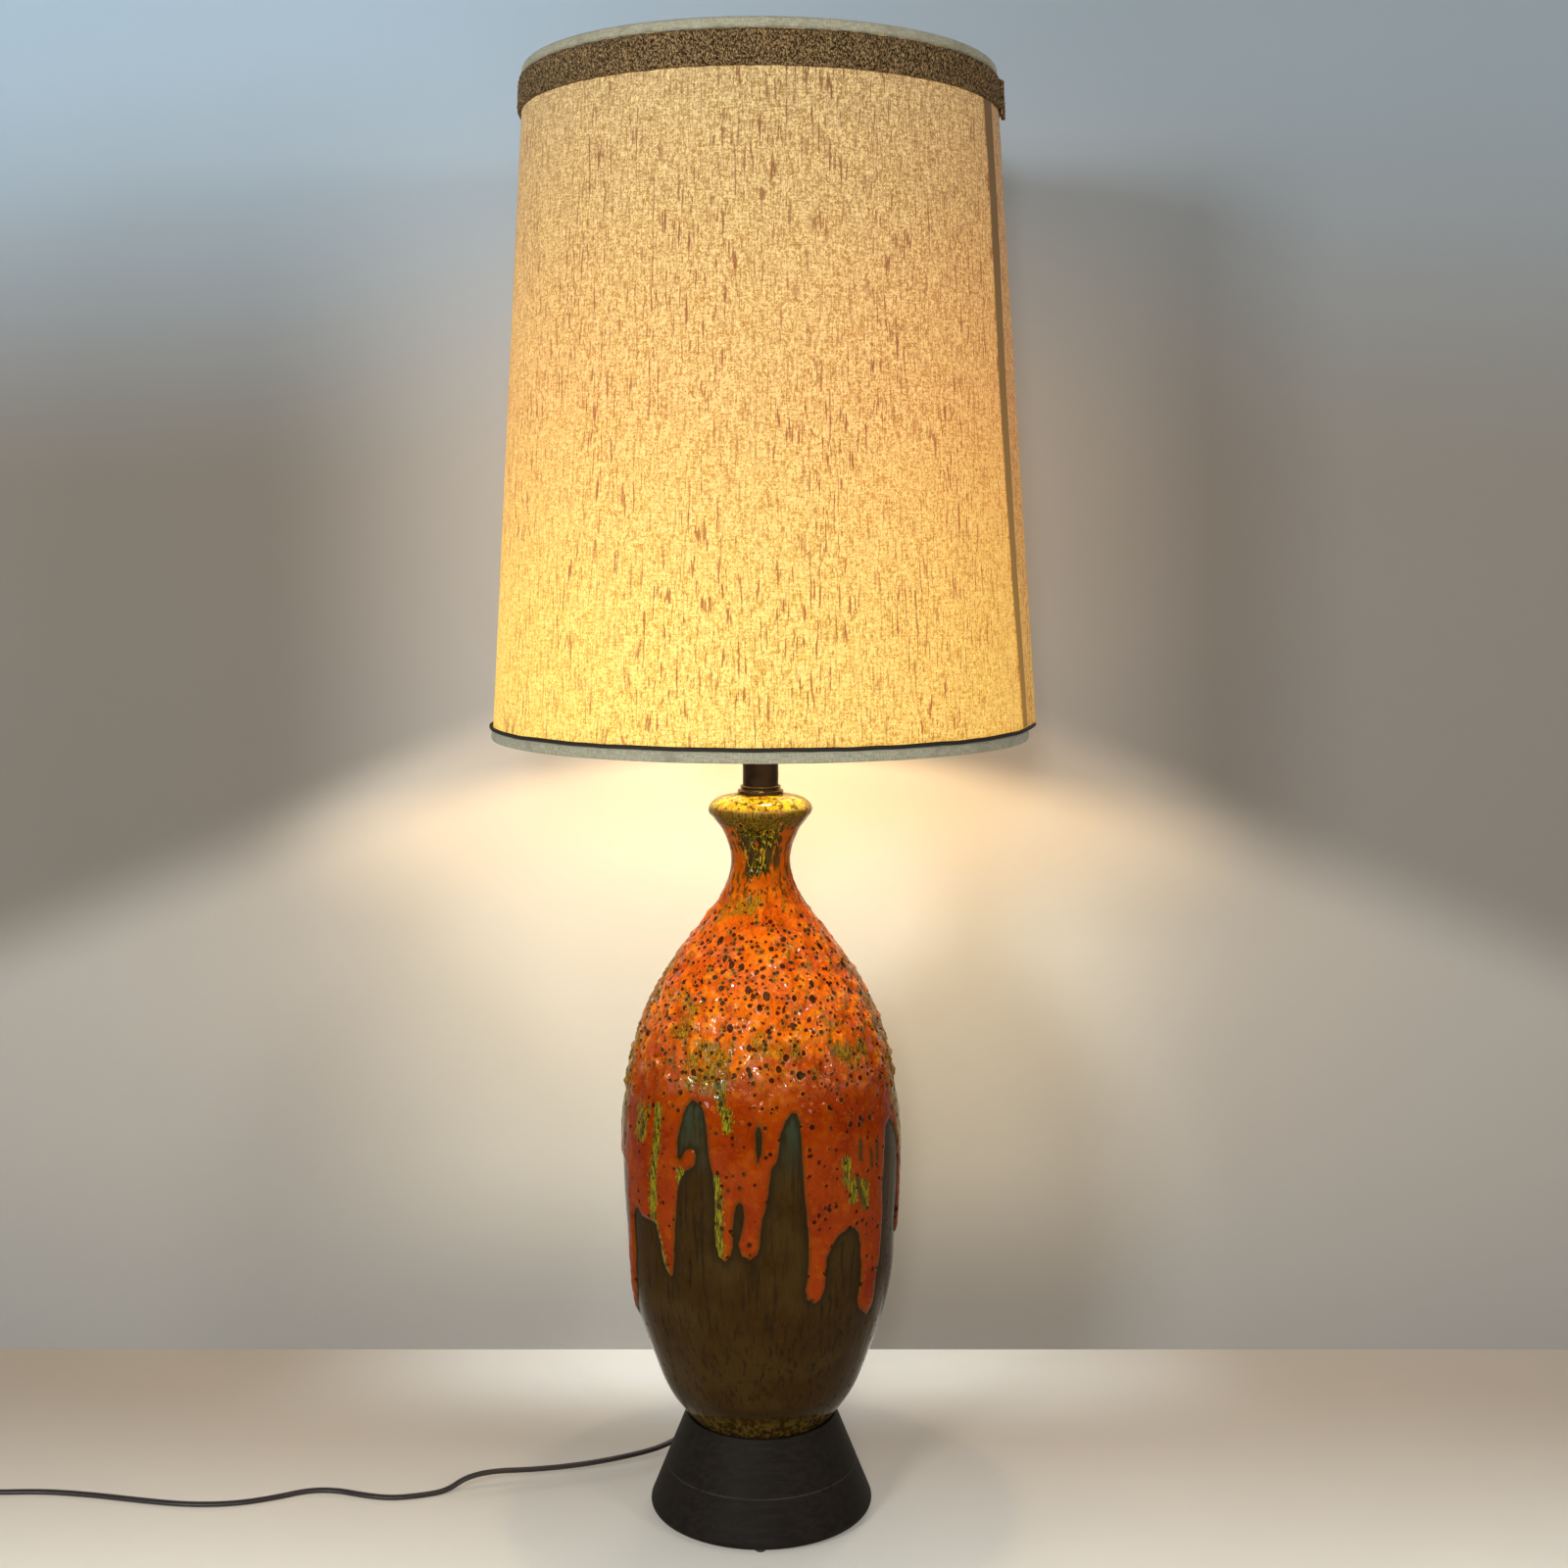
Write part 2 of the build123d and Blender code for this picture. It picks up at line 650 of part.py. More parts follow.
def socket_shell():
    """Thin brass shell that snaps into the cap, with a beaded rim and the key's hole."""
    inner = shell_radius - SHELL_WALL
    wall = turned(
        [
            (inner, shell_bottom),
            (shell_radius, shell_bottom),
            (shell_radius, shell_top - 3 * SHELL_BEAD),
            (shell_radius + SHELL_BEAD, shell_top - 2 * SHELL_BEAD),
            (shell_radius + SHELL_BEAD, shell_top - SHELL_BEAD),
            (shell_radius, shell_top),
            (inner, shell_top),
        ]
    )
    return wall - key_cut(shell_radius + OVERRUN)


def key_place(distance):
    """A place on the key's level axis, that far out towards the front."""
    return Pos(0, -distance, key_z) * Rot(QUARTER_TURN, 0, 0)


def key_cut(reach):
    """The hole through which the key's shaft passes, from the middle out to reach."""
    hole = Cylinder(KEY_SHAFT_RADIUS + KEY_CLEARANCE, reach)
    return key_place(reach / 2) * hole


def socket_liner():
    """Card sleeve that insulates the shell."""
    sleeve = tube(
        liner_radius, liner_radius - LINER_WALL, liner_bottom, shell_top - LINER_SHORTER
    )
    return sleeve - key_cut(shell_radius)


def socket_body():
    """Moulded interior: flats for the terminals, a contact bore and the key's hole."""
    body = Pos(0, 0, (moulded_bottom + moulded_top) / 2) * Cylinder(
        MOULDED_RADIUS, MOULDED_HEIGHT
    )
    depth = MOULDED_RADIUS - MOULDED_FLAT
    flat = Box(2 * depth, 2 * MOULDED_RADIUS, MOULDED_FLAT_HEIGHT)
    for side in (-1, 1):
        middle = side * (MOULDED_FLAT + depth)
        body -= Pos(middle, 0, moulded_bottom + MOULDED_FLAT_HEIGHT / 2) * flat
    bore = Pos(0, 0, moulded_bottom) * Cylinder(MOULDED_BORE_RADIUS, KEY_RISE)
    return body - bore - key_cut(MOULDED_RADIUS + OVERRUN)


def screw_shell():
    """Brass threaded sleeve on the moulded body, its floor open for the contact."""
    inner = SCREW_SHELL_RADIUS - SCREW_SHELL_WALL
    return turned(
        [
            (CONTACT_HOLE_RADIUS, moulded_top),
            (SCREW_SHELL_RADIUS, moulded_top),
            (SCREW_SHELL_RADIUS, moulded_top + SCREW_SHELL_HEIGHT),
            (inner, moulded_top + SCREW_SHELL_HEIGHT),
            (inner, moulded_top + SCREW_SHELL_FLOOR),
            (CONTACT_HOLE_RADIUS, moulded_top + SCREW_SHELL_FLOOR),
        ]
    )


def centre_contact():
    """Brass button that meets the bulb's tip."""
    return Pos(0, 0, contact_z) * extrude(Circle(CONTACT_RADIUS), CONTACT_THICKNESS)


def terminal_screws():
    """Two slotted screw heads on the moulded body's flats."""
    head = Cylinder(TERMINAL_RADIUS, TERMINAL_THICKNESS)
    slot = Box(TERMINAL_THICKNESS / 2, 2 * TERMINAL_RADIUS, TERMINAL_THICKNESS)
    slot = Pos(0, 0, TERMINAL_THICKNESS * 3 / 4) * slot
    screws = []
    for side in (-1, 1):
        place = Pos(side * (MOULDED_FLAT + TERMINAL_THICKNESS / 2), 0, terminal_z)
        screws.append(place * Rot(0, side * QUARTER_TURN, 0) * (head - slot))
    return screws


def lead_wires():
    """The cord's two cores, split above the pipe and led to the terminals."""
    terminal_x = MOULDED_FLAT + LEAD_RADIUS + SEAT_CLEARANCE
    leads = []
    for side in (-1, 1):
        path = FilletPolyline(
            (side * LEAD_SPLIT, 0, pipe_top),
            (side * LEAD_SPLIT, 0, pipe_top + LEAD_RISE),
            (side * terminal_x, 0, cap_hub_top + CAP_DOME_HEIGHT - LEAD_RISE),
            (side * terminal_x, 0, terminal_z - TERMINAL_RADIUS),
            radius=[LEAD_BEND, LEAD_BEND],
        )
        leads.append(wire_tube(path, LEAD_RADIUS))
    return leads


def switch_key_shaft():
    """Brass shaft of the turn key, from the moulded body out through the shell."""
    start = MOULDED_RADIUS - KEY_SHAFT_INSIDE
    length = KEY_SHAFT_INSIDE + KEY_SHAFT_OUTSIDE
    return key_place(start + length / 2) * Cylinder(KEY_SHAFT_RADIUS, length)


def switch_key_knob():
    """Fluted knob on the key's shaft."""
    start = shell_radius + KEY_KNOB_GAP
    knob = Cylinder(KEY_KNOB_RADIUS, KEY_KNOB_LENGTH)
    knob = fillet(knob.edges().sort_by(Axis.Z)[-1], KEY_KNOB_ROUND)
    for n in range(KEY_KNOB_FLUTES):
        turn = Rot(0, 0, n * FULL_TURN / KEY_KNOB_FLUTES)
        knob -= turn * Pos(KEY_KNOB_RADIUS, 0, 0) * Cylinder(KEY_FLUTE_RADIUS, KEY_KNOB_LENGTH)
    shaft_end = MOULDED_RADIUS + KEY_SHAFT_OUTSIDE
    socket_depth = shaft_end - start
    bore = Cylinder(KEY_SHAFT_RADIUS + PIPE_THREAD_CLEARANCE, socket_depth)
    knob -= Pos(0, 0, (socket_depth - KEY_KNOB_LENGTH) / 2) * bore
    return key_place(start + KEY_KNOB_LENGTH / 2) * knob


def bulb_contact():
    """Solder tip under the bulb's cap."""
    return Pos(0, 0, bulb_tip_z) * extrude(Circle(BULB_TIP_RADIUS), BULB_TIP_HEIGHT)


def bulb_insulator():
    """Dark glass cone between the tip and the screw cap."""
    bottom = bulb_tip_z + BULB_TIP_HEIGHT
    return turned(
        [
            (0, bottom),
            (BULB_INSULATOR_RADIUS, bottom),
            (BULB_CAP_RADIUS - BULB_CAP_WALL, bulb_cap_z),
            (0, bulb_cap_z),
        ]
    )


def bulb_cap():
    """Screw cap, open above for the glass neck."""
    inner = BULB_CAP_RADIUS - BULB_CAP_WALL
    return turned(
        [
            (0, bulb_cap_z),
            (inner, bulb_cap_z),
            (BULB_CAP_RADIUS, bulb_cap_z + BULB_CAP_WALL),
            (BULB_CAP_RADIUS, bulb_neck_z),
            (inner, bulb_neck_z),
            (inner, bulb_cap_z + BULB_CAP_WALL),
            (0, bulb_cap_z + BULB_CAP_WALL),
        ]
    )


def globe_curve(wall):
    """The bulb's outline, a wall inside its outer skin: neck, hollow shoulder and round globe."""
    globe_z = bulb_neck_z + BULB_GLASS_LENGTH - BULB_GLOBE_RADIUS
    reach = BULB_GLOBE_RADIUS + BULB_SHOULDER_RADIUS
    shoulder_x = BULB_NECK_RADIUS + BULB_SHOULDER_RADIUS
    drop = math.sqrt(reach**2 - shoulder_x**2)
    globe = BULB_GLOBE_RADIUS - wall
    share = globe / reach
    meeting = (shoulder_x * share, globe_z - drop * share)
    neck = BULB_NECK_RADIUS - wall
    hollow = (neck, globe_z - drop)
    lean = math.atan2(drop, shoulder_x) / 2
    curve = BULB_SHOULDER_RADIUS + wall
    middle = (
        shoulder_x - curve * math.cos(lean),
        globe_z - drop + curve * math.sin(lean),
    )
    side = (globe, globe_z)
    upper = (globe * math.cos(math.pi / 4), globe_z + globe * math.sin(math.pi / 4))
    return [
        Line((neck, bulb_neck_z - BULB_GLASS_IN_CAP), hollow),
        ThreePointArc(hollow, middle, meeting),
        ThreePointArc(meeting, side, upper),
        ThreePointArc(
            upper,
            (globe * math.sin(math.pi / 8), globe_z + globe * math.cos(math.pi / 8)),
            (0, globe_z + globe),
        ),
    ]


def bulb_glass():
    """Hollow globe with its neck set down into the cap."""
    outer = globe_curve(0)
    inner = globe_curve(BULB_GLASS_WALL)
    ends = [Line(outer[0] @ 0, inner[0] @ 0), Line(outer[-1] @ 1, inner[-1] @ 1)]
    return revolve(Plane.XZ * make_face(outer + inner + ends), axis=Axis.Z)


def bulb_stem():
    """Glass stem on the cap's floor with two supports and the filament between them."""
    bottom = bulb_cap_z + BULB_CAP_WALL
    stem_top = bottom + STEM_HEIGHT
    stem = turned(
        [
            (0, bottom),
            (BULB_NECK_RADIUS - BULB_GLASS_WALL, bottom),
            (STEM_RADIUS, bottom + STEM_HEIGHT / 2),
            (STEM_RADIUS, stem_top),
            (0, stem_top),
        ]
    )
    loop = FilletPolyline(
        (-STEM_RADIUS / 2, 0, stem_top - FILAMENT_RADIUS),
        (-FILAMENT_HALF_SPAN, 0, stem_top + FILAMENT_RISE),
        (FILAMENT_HALF_SPAN, 0, stem_top + FILAMENT_RISE),
        (STEM_RADIUS / 2, 0, stem_top - FILAMENT_RADIUS),
        radius=[STEM_RADIUS, STEM_RADIUS],
    )
    return stem + wire_tube(loop, FILAMENT_RADIUS)


def harp_wire():
    """The bow: flat feet, straight legs, a widening shoulder and a flat top with its pad."""
    wire_bottom = shoulder_z + TONGUE_LENGTH + HARP_WIRE_START_GAP
    leg_top = wire_bottom + HARP_LEG_LENGTH
    side_bottom = leg_top + HARP_SHOULDER_RISE
    right = [
        (HARP_LEG_RADIUS, 0, wire_bottom),
        (HARP_LEG_RADIUS, 0, leg_top),
        (HARP_BOW_HALF_WIDTH, 0, side_bottom),
        (HARP_BOW_HALF_WIDTH, 0, side_bottom + HARP_STRAIGHT),
        (HARP_TOP_HALF_WIDTH, 0, harp_top),
    ]
    left = [(-x, y, z) for x, y, z in reversed(right)]
    bends = [HARP_LOWER_BEND, HARP_SIDE_BEND, HARP_UPPER_BEND, HARP_TOP_BEND]
    bow = wire_tube(FilletPolyline(*right, *left, radius=bends + bends[::-1]), HARP_WIRE_RADIUS)
    foot_height = wire_bottom - shoulder_z + HARP_WIRE_RADIUS
    foot = Box(HARP_FOOT_THICKNESS, HARP_FOOT_WIDTH, foot_height)
    for side in (-1, 1):
        bow += Pos(side * HARP_LEG_RADIUS, 0, shoulder_z + foot_height / 2) * foot
    pad = Box(HARP_PAD_LENGTH, HARP_PAD_WIDTH, 2 * HARP_WIRE_RADIUS)
    pad = fillet(pad.edges().filter_by(Axis.Z), HARP_PAD_WIDTH / 3)
    bore = Cylinder(SWIVEL_PIN_RADIUS + SWIVEL_PIN_CLEARANCE, 3 * HARP_WIRE_RADIUS)
    return bow + Pos(0, 0, harp_top) * pad - Pos(0, 0, harp_top) * bore


def ferrule(side):
    """Sleeve that slides down over a tongue and a harp foot and locks them."""
    bottom = shoulder_z
    sleeve = tube(FERRULE_RADIUS, FERRULE_BORE_RADIUS, bottom, bottom + FERRULE_LENGTH)
    sleeve = chamfer(widest_rims(sleeve, FERRULE_RADIUS), FERRULE_EDGE)
    return Pos(side * ferrule_centre, 0, 0) * sleeve


def harp_stud():
    """Swivel stud: a rivet head under the pad, a pin through it, a seat and the screw."""
    pad_bottom = harp_top - HARP_WIRE_RADIUS
    head_top = pad_bottom - SWIVEL_HEAD_GAP
    return turned(
        [
            (0, head_top - SWIVEL_HEAD_HEIGHT),
            (SWIVEL_HEAD_RADIUS / 2, head_top - SWIVEL_HEAD_HEIGHT),
            (SWIVEL_HEAD_RADIUS, head_top - SWIVEL_HEAD_HEIGHT / 2),
            (SWIVEL_HEAD_RADIUS, head_top),
            (SWIVEL_PIN_RADIUS, head_top),
            (SWIVEL_PIN_RADIUS, harp_pad_top),
            (SWIVEL_SEAT_RADIUS, harp_pad_top),
            (SWIVEL_SEAT_RADIUS, seat_top),
            (STUD_RADIUS, seat_top),
            (STUD_RADIUS, seat_top + STUD_LENGTH),
            (0, seat_top + STUD_LENGTH),
        ]
    )


def finial():
    """Turned brass finial: a broad foot, a waist, a ball and a small tip, bored for the stud."""
    bore = STUD_RADIUS + FINIAL_BORE_CLEARANCE
    waist = max(FINIAL_WAIST_RADIUS, bore + FINIAL_WALL)
    ball_z = washer_top + FINIAL_HEIGHT - FINIAL_BALL_RADIUS - FINIAL_WAIST_RADIUS
    foot_top = washer_top + FINIAL_WAIST_RADIUS
    knob = turned(
        [
            (0, washer_top),
            (FINIAL_BASE_RADIUS, washer_top),
            (FINIAL_BASE_RADIUS, washer_top + FINIAL_WAIST_RADIUS / 2),
            (waist, foot_top),
            (waist, ball_z),
            (0, ball_z),
        ]
    )
    knob += Pos(0, 0, ball_z) * Sphere(FINIAL_BALL_RADIUS)
    tip_bottom = ball_z + FINIAL_WAIST_RADIUS
    knob += turned(
        [
            (0, tip_bottom),
            (FINIAL_WAIST_RADIUS, tip_bottom),
            (FINIAL_WAIST_RADIUS / 2, washer_top + FINIAL_HEIGHT),
            (0, washer_top + FINIAL_HEIGHT),
        ]
    )
    depth = seat_top + STUD_LENGTH + FINIAL_WALL - washer_top
    hole = Pos(0, 0, washer_top + depth / 2) * Cylinder(bore, depth)
    return knob - hole


def shade_radius(height):
    """The fabric's outside radius at a height."""
    share = (height - shade_bottom) / SHADE_HEIGHT
    return SHADE_BOTTOM_RADIUS + (SHADE_TOP_RADIUS - SHADE_BOTTOM_RADIUS) * share


def shade_band(bottom, top, inner, outer):
    """A band round the shade's taper, from inner to outer beyond the fabric's outside."""
    return turned(
        [
            (shade_radius(bottom) + inner, bottom),
            (shade_radius(bottom) + outer, bottom),
            (shade_radius(top) + outer, top),
            (shade_radius(top) + inner, top),
        ]
    )


def shade_fabric():
    """The slubbed cloth cone."""
    return shade_band(shade_bottom, shade_top, -FABRIC_THICKNESS, 0)


def shade_liner():
    """The stiff translucent cone that the cloth is laid on."""
    inner = -FABRIC_THICKNESS - LINER_THICKNESS
    return shade_band(shade_bottom, shade_top, inner, -FABRIC_THICKNESS)


def wire_circle_radius(height):
    """Centre radius of a ring of wire that lies inside the liner at a height."""
    return shade_radius(height) - FABRIC_THICKNESS - LINER_THICKNESS - RING_WIRE_RADIUS


def bottom_wire_z():
    """Height of the bottom ring's wire."""
    return shade_bottom + RING_WIRE_RADIUS


def top_wire_z():
    """Height of the top ring's wire."""
    return shade_top - RING_WIRE_RADIUS


def wire_lean():
    """How far a wire's ring draws in to clear the leaning liner."""
    lean = (SHADE_BOTTOM_RADIUS - SHADE_TOP_RADIUS) / SHADE_HEIGHT
    return RING_WIRE_RADIUS * lean


def shade_ring_bottom():
    """Wire ring inside the bottom edge."""
    height = bottom_wire_z()
    radius = wire_circle_radius(height) - wire_lean()
    return Pos(0, 0, height) * Torus(radius, RING_WIRE_RADIUS)


def top_ring_radius():
    """Centre radius of the top ring's wire."""
    return wire_circle_radius(top_wire_z()) - wire_lean()


def shade_ring_top():
    """Wire ring inside the top edge."""
    return Pos(0, 0, top_wire_z()) * Torus(top_ring_radius(), RING_WIRE_RADIUS)


def shade_fitter():
    """Centre washer with three dropped arms that end in the top ring."""
    fitter = tube(
        FITTER_WASHER_RADIUS, STUD_RADIUS + FITTER_BORE_CLEARANCE, seat_top, washer_top
    )
    liner_inside = shade_radius(arm_z) - FABRIC_THICKNESS - LINER_THICKNESS
    corner = liner_inside - FITTER_WIRE_RADIUS - FITTER_WALL_GAP
    path = FilletPolyline(
        (FITTER_ARM_START, 0, arm_z),
        (corner, 0, arm_z),
        (top_ring_radius() - FITTER_WIRE_RADIUS / 4, 0, top_wire_z()),
        radius=[FITTER_ARM_BEND],
    )
    arm = wire_tube(path, FITTER_WIRE_RADIUS) - shade_ring_top()
    arm = arm.solids().sort_by(SortBy.VOLUME)[-1]
    for n in range(FITTER_ARM_COUNT):
        fitter += Rot(0, 0, QUARTER_TURN + n * FULL_TURN / FITTER_ARM_COUNT) * arm
    return fitter


def tape_inside():
    """How far inside the fabric's outside the folded tape's inner leg begins."""
    return FABRIC_THICKNESS + LINER_THICKNESS + 2 * RING_WIRE_RADIUS + TAPE_GAP


def shade_tape_bottom():
    """Pale tape folded round the bottom edge and its wire."""
    top = shade_bottom + BOTTOM_TAPE_WIDTH
    low = shade_bottom - TAPE_THICKNESS
    wrap = tape_inside() + wire_lean() * 2
    outer = shade_band(low, top, -wrap - TAPE_THICKNESS, TAPE_THICKNESS)
    return outer - shade_band(shade_bottom, top + OVERRUN, -wrap, 0)


def shade_tape_top():
    """Pale tape folded round the top edge above the braid."""
    bottom = shade_top - TOP_TAPE_WIDTH
    high = shade_top + TAPE_THICKNESS
    wrap = tape_inside() + wire_lean() * 2
    outer = shade_band(bottom, high, -wrap - TAPE_THICKNESS, TOP_TAPE_THICKNESS)
    band = outer - shade_band(bottom - OVERRUN, shade_top, -wrap, 0)
    for n in range(FITTER_ARM_COUNT):
        notch = Box(4 * FITTER_WIRE_RADIUS, 3 * FITTER_WIRE_RADIUS, 2 * TOP_TAPE_WIDTH)
        place = Pos(shade_radius(bottom) - wrap - FITTER_WIRE_RADIUS, 0, bottom)
        band -= Rot(0, 0, QUARTER_TURN + n * FULL_TURN / FITTER_ARM_COUNT) * place * notch
    return band


def shade_piping():
    """Dark round piping above the bottom tape."""
    height = shade_bottom + BOTTOM_TAPE_WIDTH + PIPING_RADIUS
    radius = shade_radius(height) + PIPING_RADIUS + SEAT_CLEARANCE
    return Pos(0, 0, height) * Torus(radius, PIPING_RADIUS)


def gimp_band(bottom, top, thickness):
    """A braid's band on the fabric with soft outer corners."""
    band = shade_band(bottom, top, 0, thickness)
    rims = band.edges().filter_by(GeomType.CIRCLE)
    rims = [e for e in rims if e.radius > shade_radius(e.center().Z) + thickness / 2]
    return fillet(rims, min(GIMP_ROUND, thickness * 2 / 5))


def shade_gimp():
    """Looped wool braid round the top of the cloth."""
    top = shade_top - TOP_TAPE_WIDTH
    return gimp_band(top - GIMP_WIDTH, top, GIMP_THICKNESS)


def wedge(band, angle, width, height):
    """The piece of a band as wide as width at that height, centred on an angle."""
    span = math.degrees(width / shade_radius(height))
    reach = 2 * SHADE_BOTTOM_RADIUS
    tall = 2 * SHADE_HEIGHT
    half = span / 2
    sector = make_face(
        Polyline(
            (0, 0),
            (reach * math.cos(math.radians(half)), -reach * math.sin(math.radians(half))),
            (reach * math.cos(math.radians(half)), reach * math.sin(math.radians(half))),
            close=True,
        )
    )
    cutter = Pos(0, 0, shade_bottom - shade_top + height) * extrude(sector, tall)
    return band & Rot(0, 0, angle) * cutter


def shade_seam():
    """Folded strip of the cloth's own lap seam, from the piping up to the braid."""
    bottom = shade_bottom + BOTTOM_TAPE_WIDTH + 2 * PIPING_RADIUS
    top = shade_top - TOP_TAPE_WIDTH - GIMP_WIDTH
    band = shade_band(bottom, top, 0, SEAM_THICKNESS)
    return wedge(band, SEAM_ANGLE, SEAM_WIDTH, top)


def shade_gimp_tail():
    """The braid's loose end, lapped over its start and hanging a little low."""
    top = shade_top - TOP_TAPE_WIDTH - GIMP_ROUND
    band = shade_band(
        top - TAIL_HEIGHT, top, GIMP_THICKNESS, GIMP_THICKNESS + TAIL_THICKNESS
    )
    return wedge(band, TAIL_ANGLE, TAIL_WIDTH, top)


def cord_bushing():
    """Sleeve in the base's back: a barrel, a flange on the spot face and a tapered nose."""
    bore = CORD_RADIUS + BUSHING_BORE_CLEARANCE
    seat = BUSHING_SEAT_DISTANCE
    flange_end = seat + BUSHING_FLANGE_THICKNESS
    sleeve = turned(
        [
            (bore, seat - BUSHING_BARREL_LENGTH),
            (BUSHING_BARREL_RADIUS, seat - BUSHING_BARREL_LENGTH),
            (BUSHING_BARREL_RADIUS, seat),
            (BUSHING_FLANGE_RADIUS, seat),
            (BUSHING_FLANGE_RADIUS, flange_end),
            (BUSHING_NOSE_BASE_RADIUS, flange_end),
            (BUSHING_NOSE_TIP_RADIUS, exit_distance),
            (bore, exit_distance),
        ]
    )
    return along_exit(sleeve)


def cord_inside():
    """The cord from its exit through the base's cavity and up the pipe."""
    path = FilletPolyline(
        exit_point, exit_axis_point, (0, 0, pipe_top), radius=[CORD_BEND_IN_BASE]
    )
    return wire_tube(path, CORD_RADIUS)


def coil_radii():
    """Half-turn radii from the coil's outside to its inside, a turn's pitch apart."""
    step = (cord_diameter + COIL_TURN_GAP) / 2
    return [COIL_INNER_RADIUS + step * n for n in range(COIL_HALF_TURNS, 0, -1)]


def coil_path():
    """Two layers of half turns, in along the floor and out above, from the cord to the plug."""
    radii = coil_radii()
    step = (cord_diameter + COIL_TURN_GAP) / 2
    floor = CORD_RADIUS
    upper = floor + cord_diameter + COIL_TURN_GAP
    x = COIL_CENTRE[0]
    top = COIL_CENTRE[1] + radii[0]
    edges = [Line((x + cord_diameter, top, floor), (x, top, floor))]
    side = 1
    y = top
    for radius in radii:
        middle = (x - side * radius, y - side * radius, floor)
        after = y - side * 2 * radius
        edges.append(ThreePointArc((x, y, floor), middle, (x, after, floor)))
        y = after
        side = -side
    # The climb is two equal arcs that meet halfway up with one common slope
    rise = upper - floor
    bulge = math.sqrt(COIL_INNER_RADIUS**2 + (rise / 2) ** 2)
    half = (x - side * bulge, y - side * COIL_INNER_RADIUS, floor + rise / 2)
    after = y - side * 2 * COIL_INNER_RADIUS
    edges.append(TangentArc((x, y, floor), half, tangent=(-side, 0, 0)))
    edges.append(TangentArc(half, (x, after, upper), tangent=edges[-1] % 1))
    y = after
    side = -side
    for radius in radii[:0:-1]:
        middle = (x - side * radius, y - side * radius, upper)
        after = y - side * 2 * radius
        edges.append(ThreePointArc((x, y, upper), middle, (x, after, upper)))
        y = after
        side = -side
    last = radii[0]
    corner = math.sqrt(1 / 2)
    middle = (x - side * last * corner, y - side * last * (1 - corner), upper)
    end = (x - side * last, y - side * last, upper)
    edges.append(ThreePointArc((x, y, upper), middle, end))
    tail = (end[0], end[1] - side * cord_diameter, upper)
    edges.append(Line(end, tail))
    print("coil: first and last radius", round(radii[0], 2), COIL_INNER_RADIUS, "step", step)
    return Wire(edges), Vector(*tail)


def least_gap(path):
    """The coil's least gap to itself, on points along its path two diameters or more apart."""
    count = int(path.length / (cord_diameter / 2))
    points = [path @ (n / count) for n in range(count + 1)]
    apart = 6
    return min(
        (points[i] - points[j]).length - cord_diameter
        for i in range(count + 1)
        for j in range(i + apart, count + 1)
    )


def cord_free(coil_start):
    """The cord's free stretch from the bushing's nose to the coil."""
    lead_in = coil_start + Vector(COIL_LEAD_IN, 0, 0)
    start = exit_point + exit_direction * CORD_START_RUN
    route = [Vector(*point) for point in CORD_ROUTE]
    points = [exit_point, start] + route + [lead_in, coil_start]
    radii = corner_radii(points)
    path = soft_line(points)
    solid = wire_tube(path, CORD_RADIUS)
    section = math.pi * CORD_RADIUS**2
    print("free cord: length", round(path.length, 1), "least radius", round(min(radii), 1))
    print("free cord: radii", [round(radius) for radius in radii])
    print("free cord: volume share", round(solid.volume / section / path.length, 4))
    return solid, path.length


def cord_coil(path):
    """The put-away length, wound in two layers beside the free cord's end."""
    solid = wire_tube(path, CORD_RADIUS)
    section = math.pi * CORD_RADIUS**2
    print("coil: length", round(path.length, 1), "least gap", round(least_gap(path), 2))
    print("coil: volume share", round(solid.volume / section / path.length, 4))
    return solid


def cord_tail(start):
    """The short straight run from the coil to the plug."""
    path = Line(start, start + Vector(0, -PLUG_TAIL, 0))
    return wire_tube(path, CORD_RADIUS)


def plug_body(start):
    """Moulded plug on its edge-to-edge flat, tapering back to the cord."""
    rear = start.Y - PLUG_TAIL
    thickness = 2 * start.Z
    outline = make_face(
        Polyline(
            (-PLUG_TAPER_WIDTH / 2, rear),
            (PLUG_TAPER_WIDTH / 2, rear),
            (PLUG_WIDTH / 2, rear - PLUG_LENGTH / 3),
            (PLUG_WIDTH / 2, rear - PLUG_LENGTH),
            (-PLUG_WIDTH / 2, rear - PLUG_LENGTH),
            (-PLUG_WIDTH / 2, rear - PLUG_LENGTH / 3),
            close=True,
        )
    )
    block = extrude(outline, thickness)
    block = fillet(block.edges().filter_by(Axis.Z), PLUG_ROUND)
    return Pos(start.X, 0, 0) * block


def plug_blades(start):
    """Two flat blades with their holes, face to face with the plug."""
    front = start.Y - PLUG_TAIL - PLUG_LENGTH
    blade = Box(BLADE_THICKNESS, BLADE_LENGTH, BLADE_WIDTH)
    hole = Rot(0, QUARTER_TURN, 0) * Cylinder(BLADE_HOLE_RADIUS, 2 * BLADE_THICKNESS)
    blade -= Pos(0, BLADE_HOLE_INSET - BLADE_LENGTH / 2, 0) * hole
    return [
        Pos(start.X + side * BLADE_SPACING / 2, front - BLADE_LENGTH / 2, start.Z) * blade
        for side in (-1, 1)
    ]


def write(name, solids):
    """Write one node's solid, or its group of solids."""
    group = solids if isinstance(solids, list) else [solids]
    loose = [piece for shape in group for piece in shape.solids()]
    export_step(loose[0] if len(loose) == 1 else Compound(children=loose), f"parts/{name}.step")


coil_wire, coil_end = coil_path()
free_solid, free_length = cord_free(coil_wire @ 0)

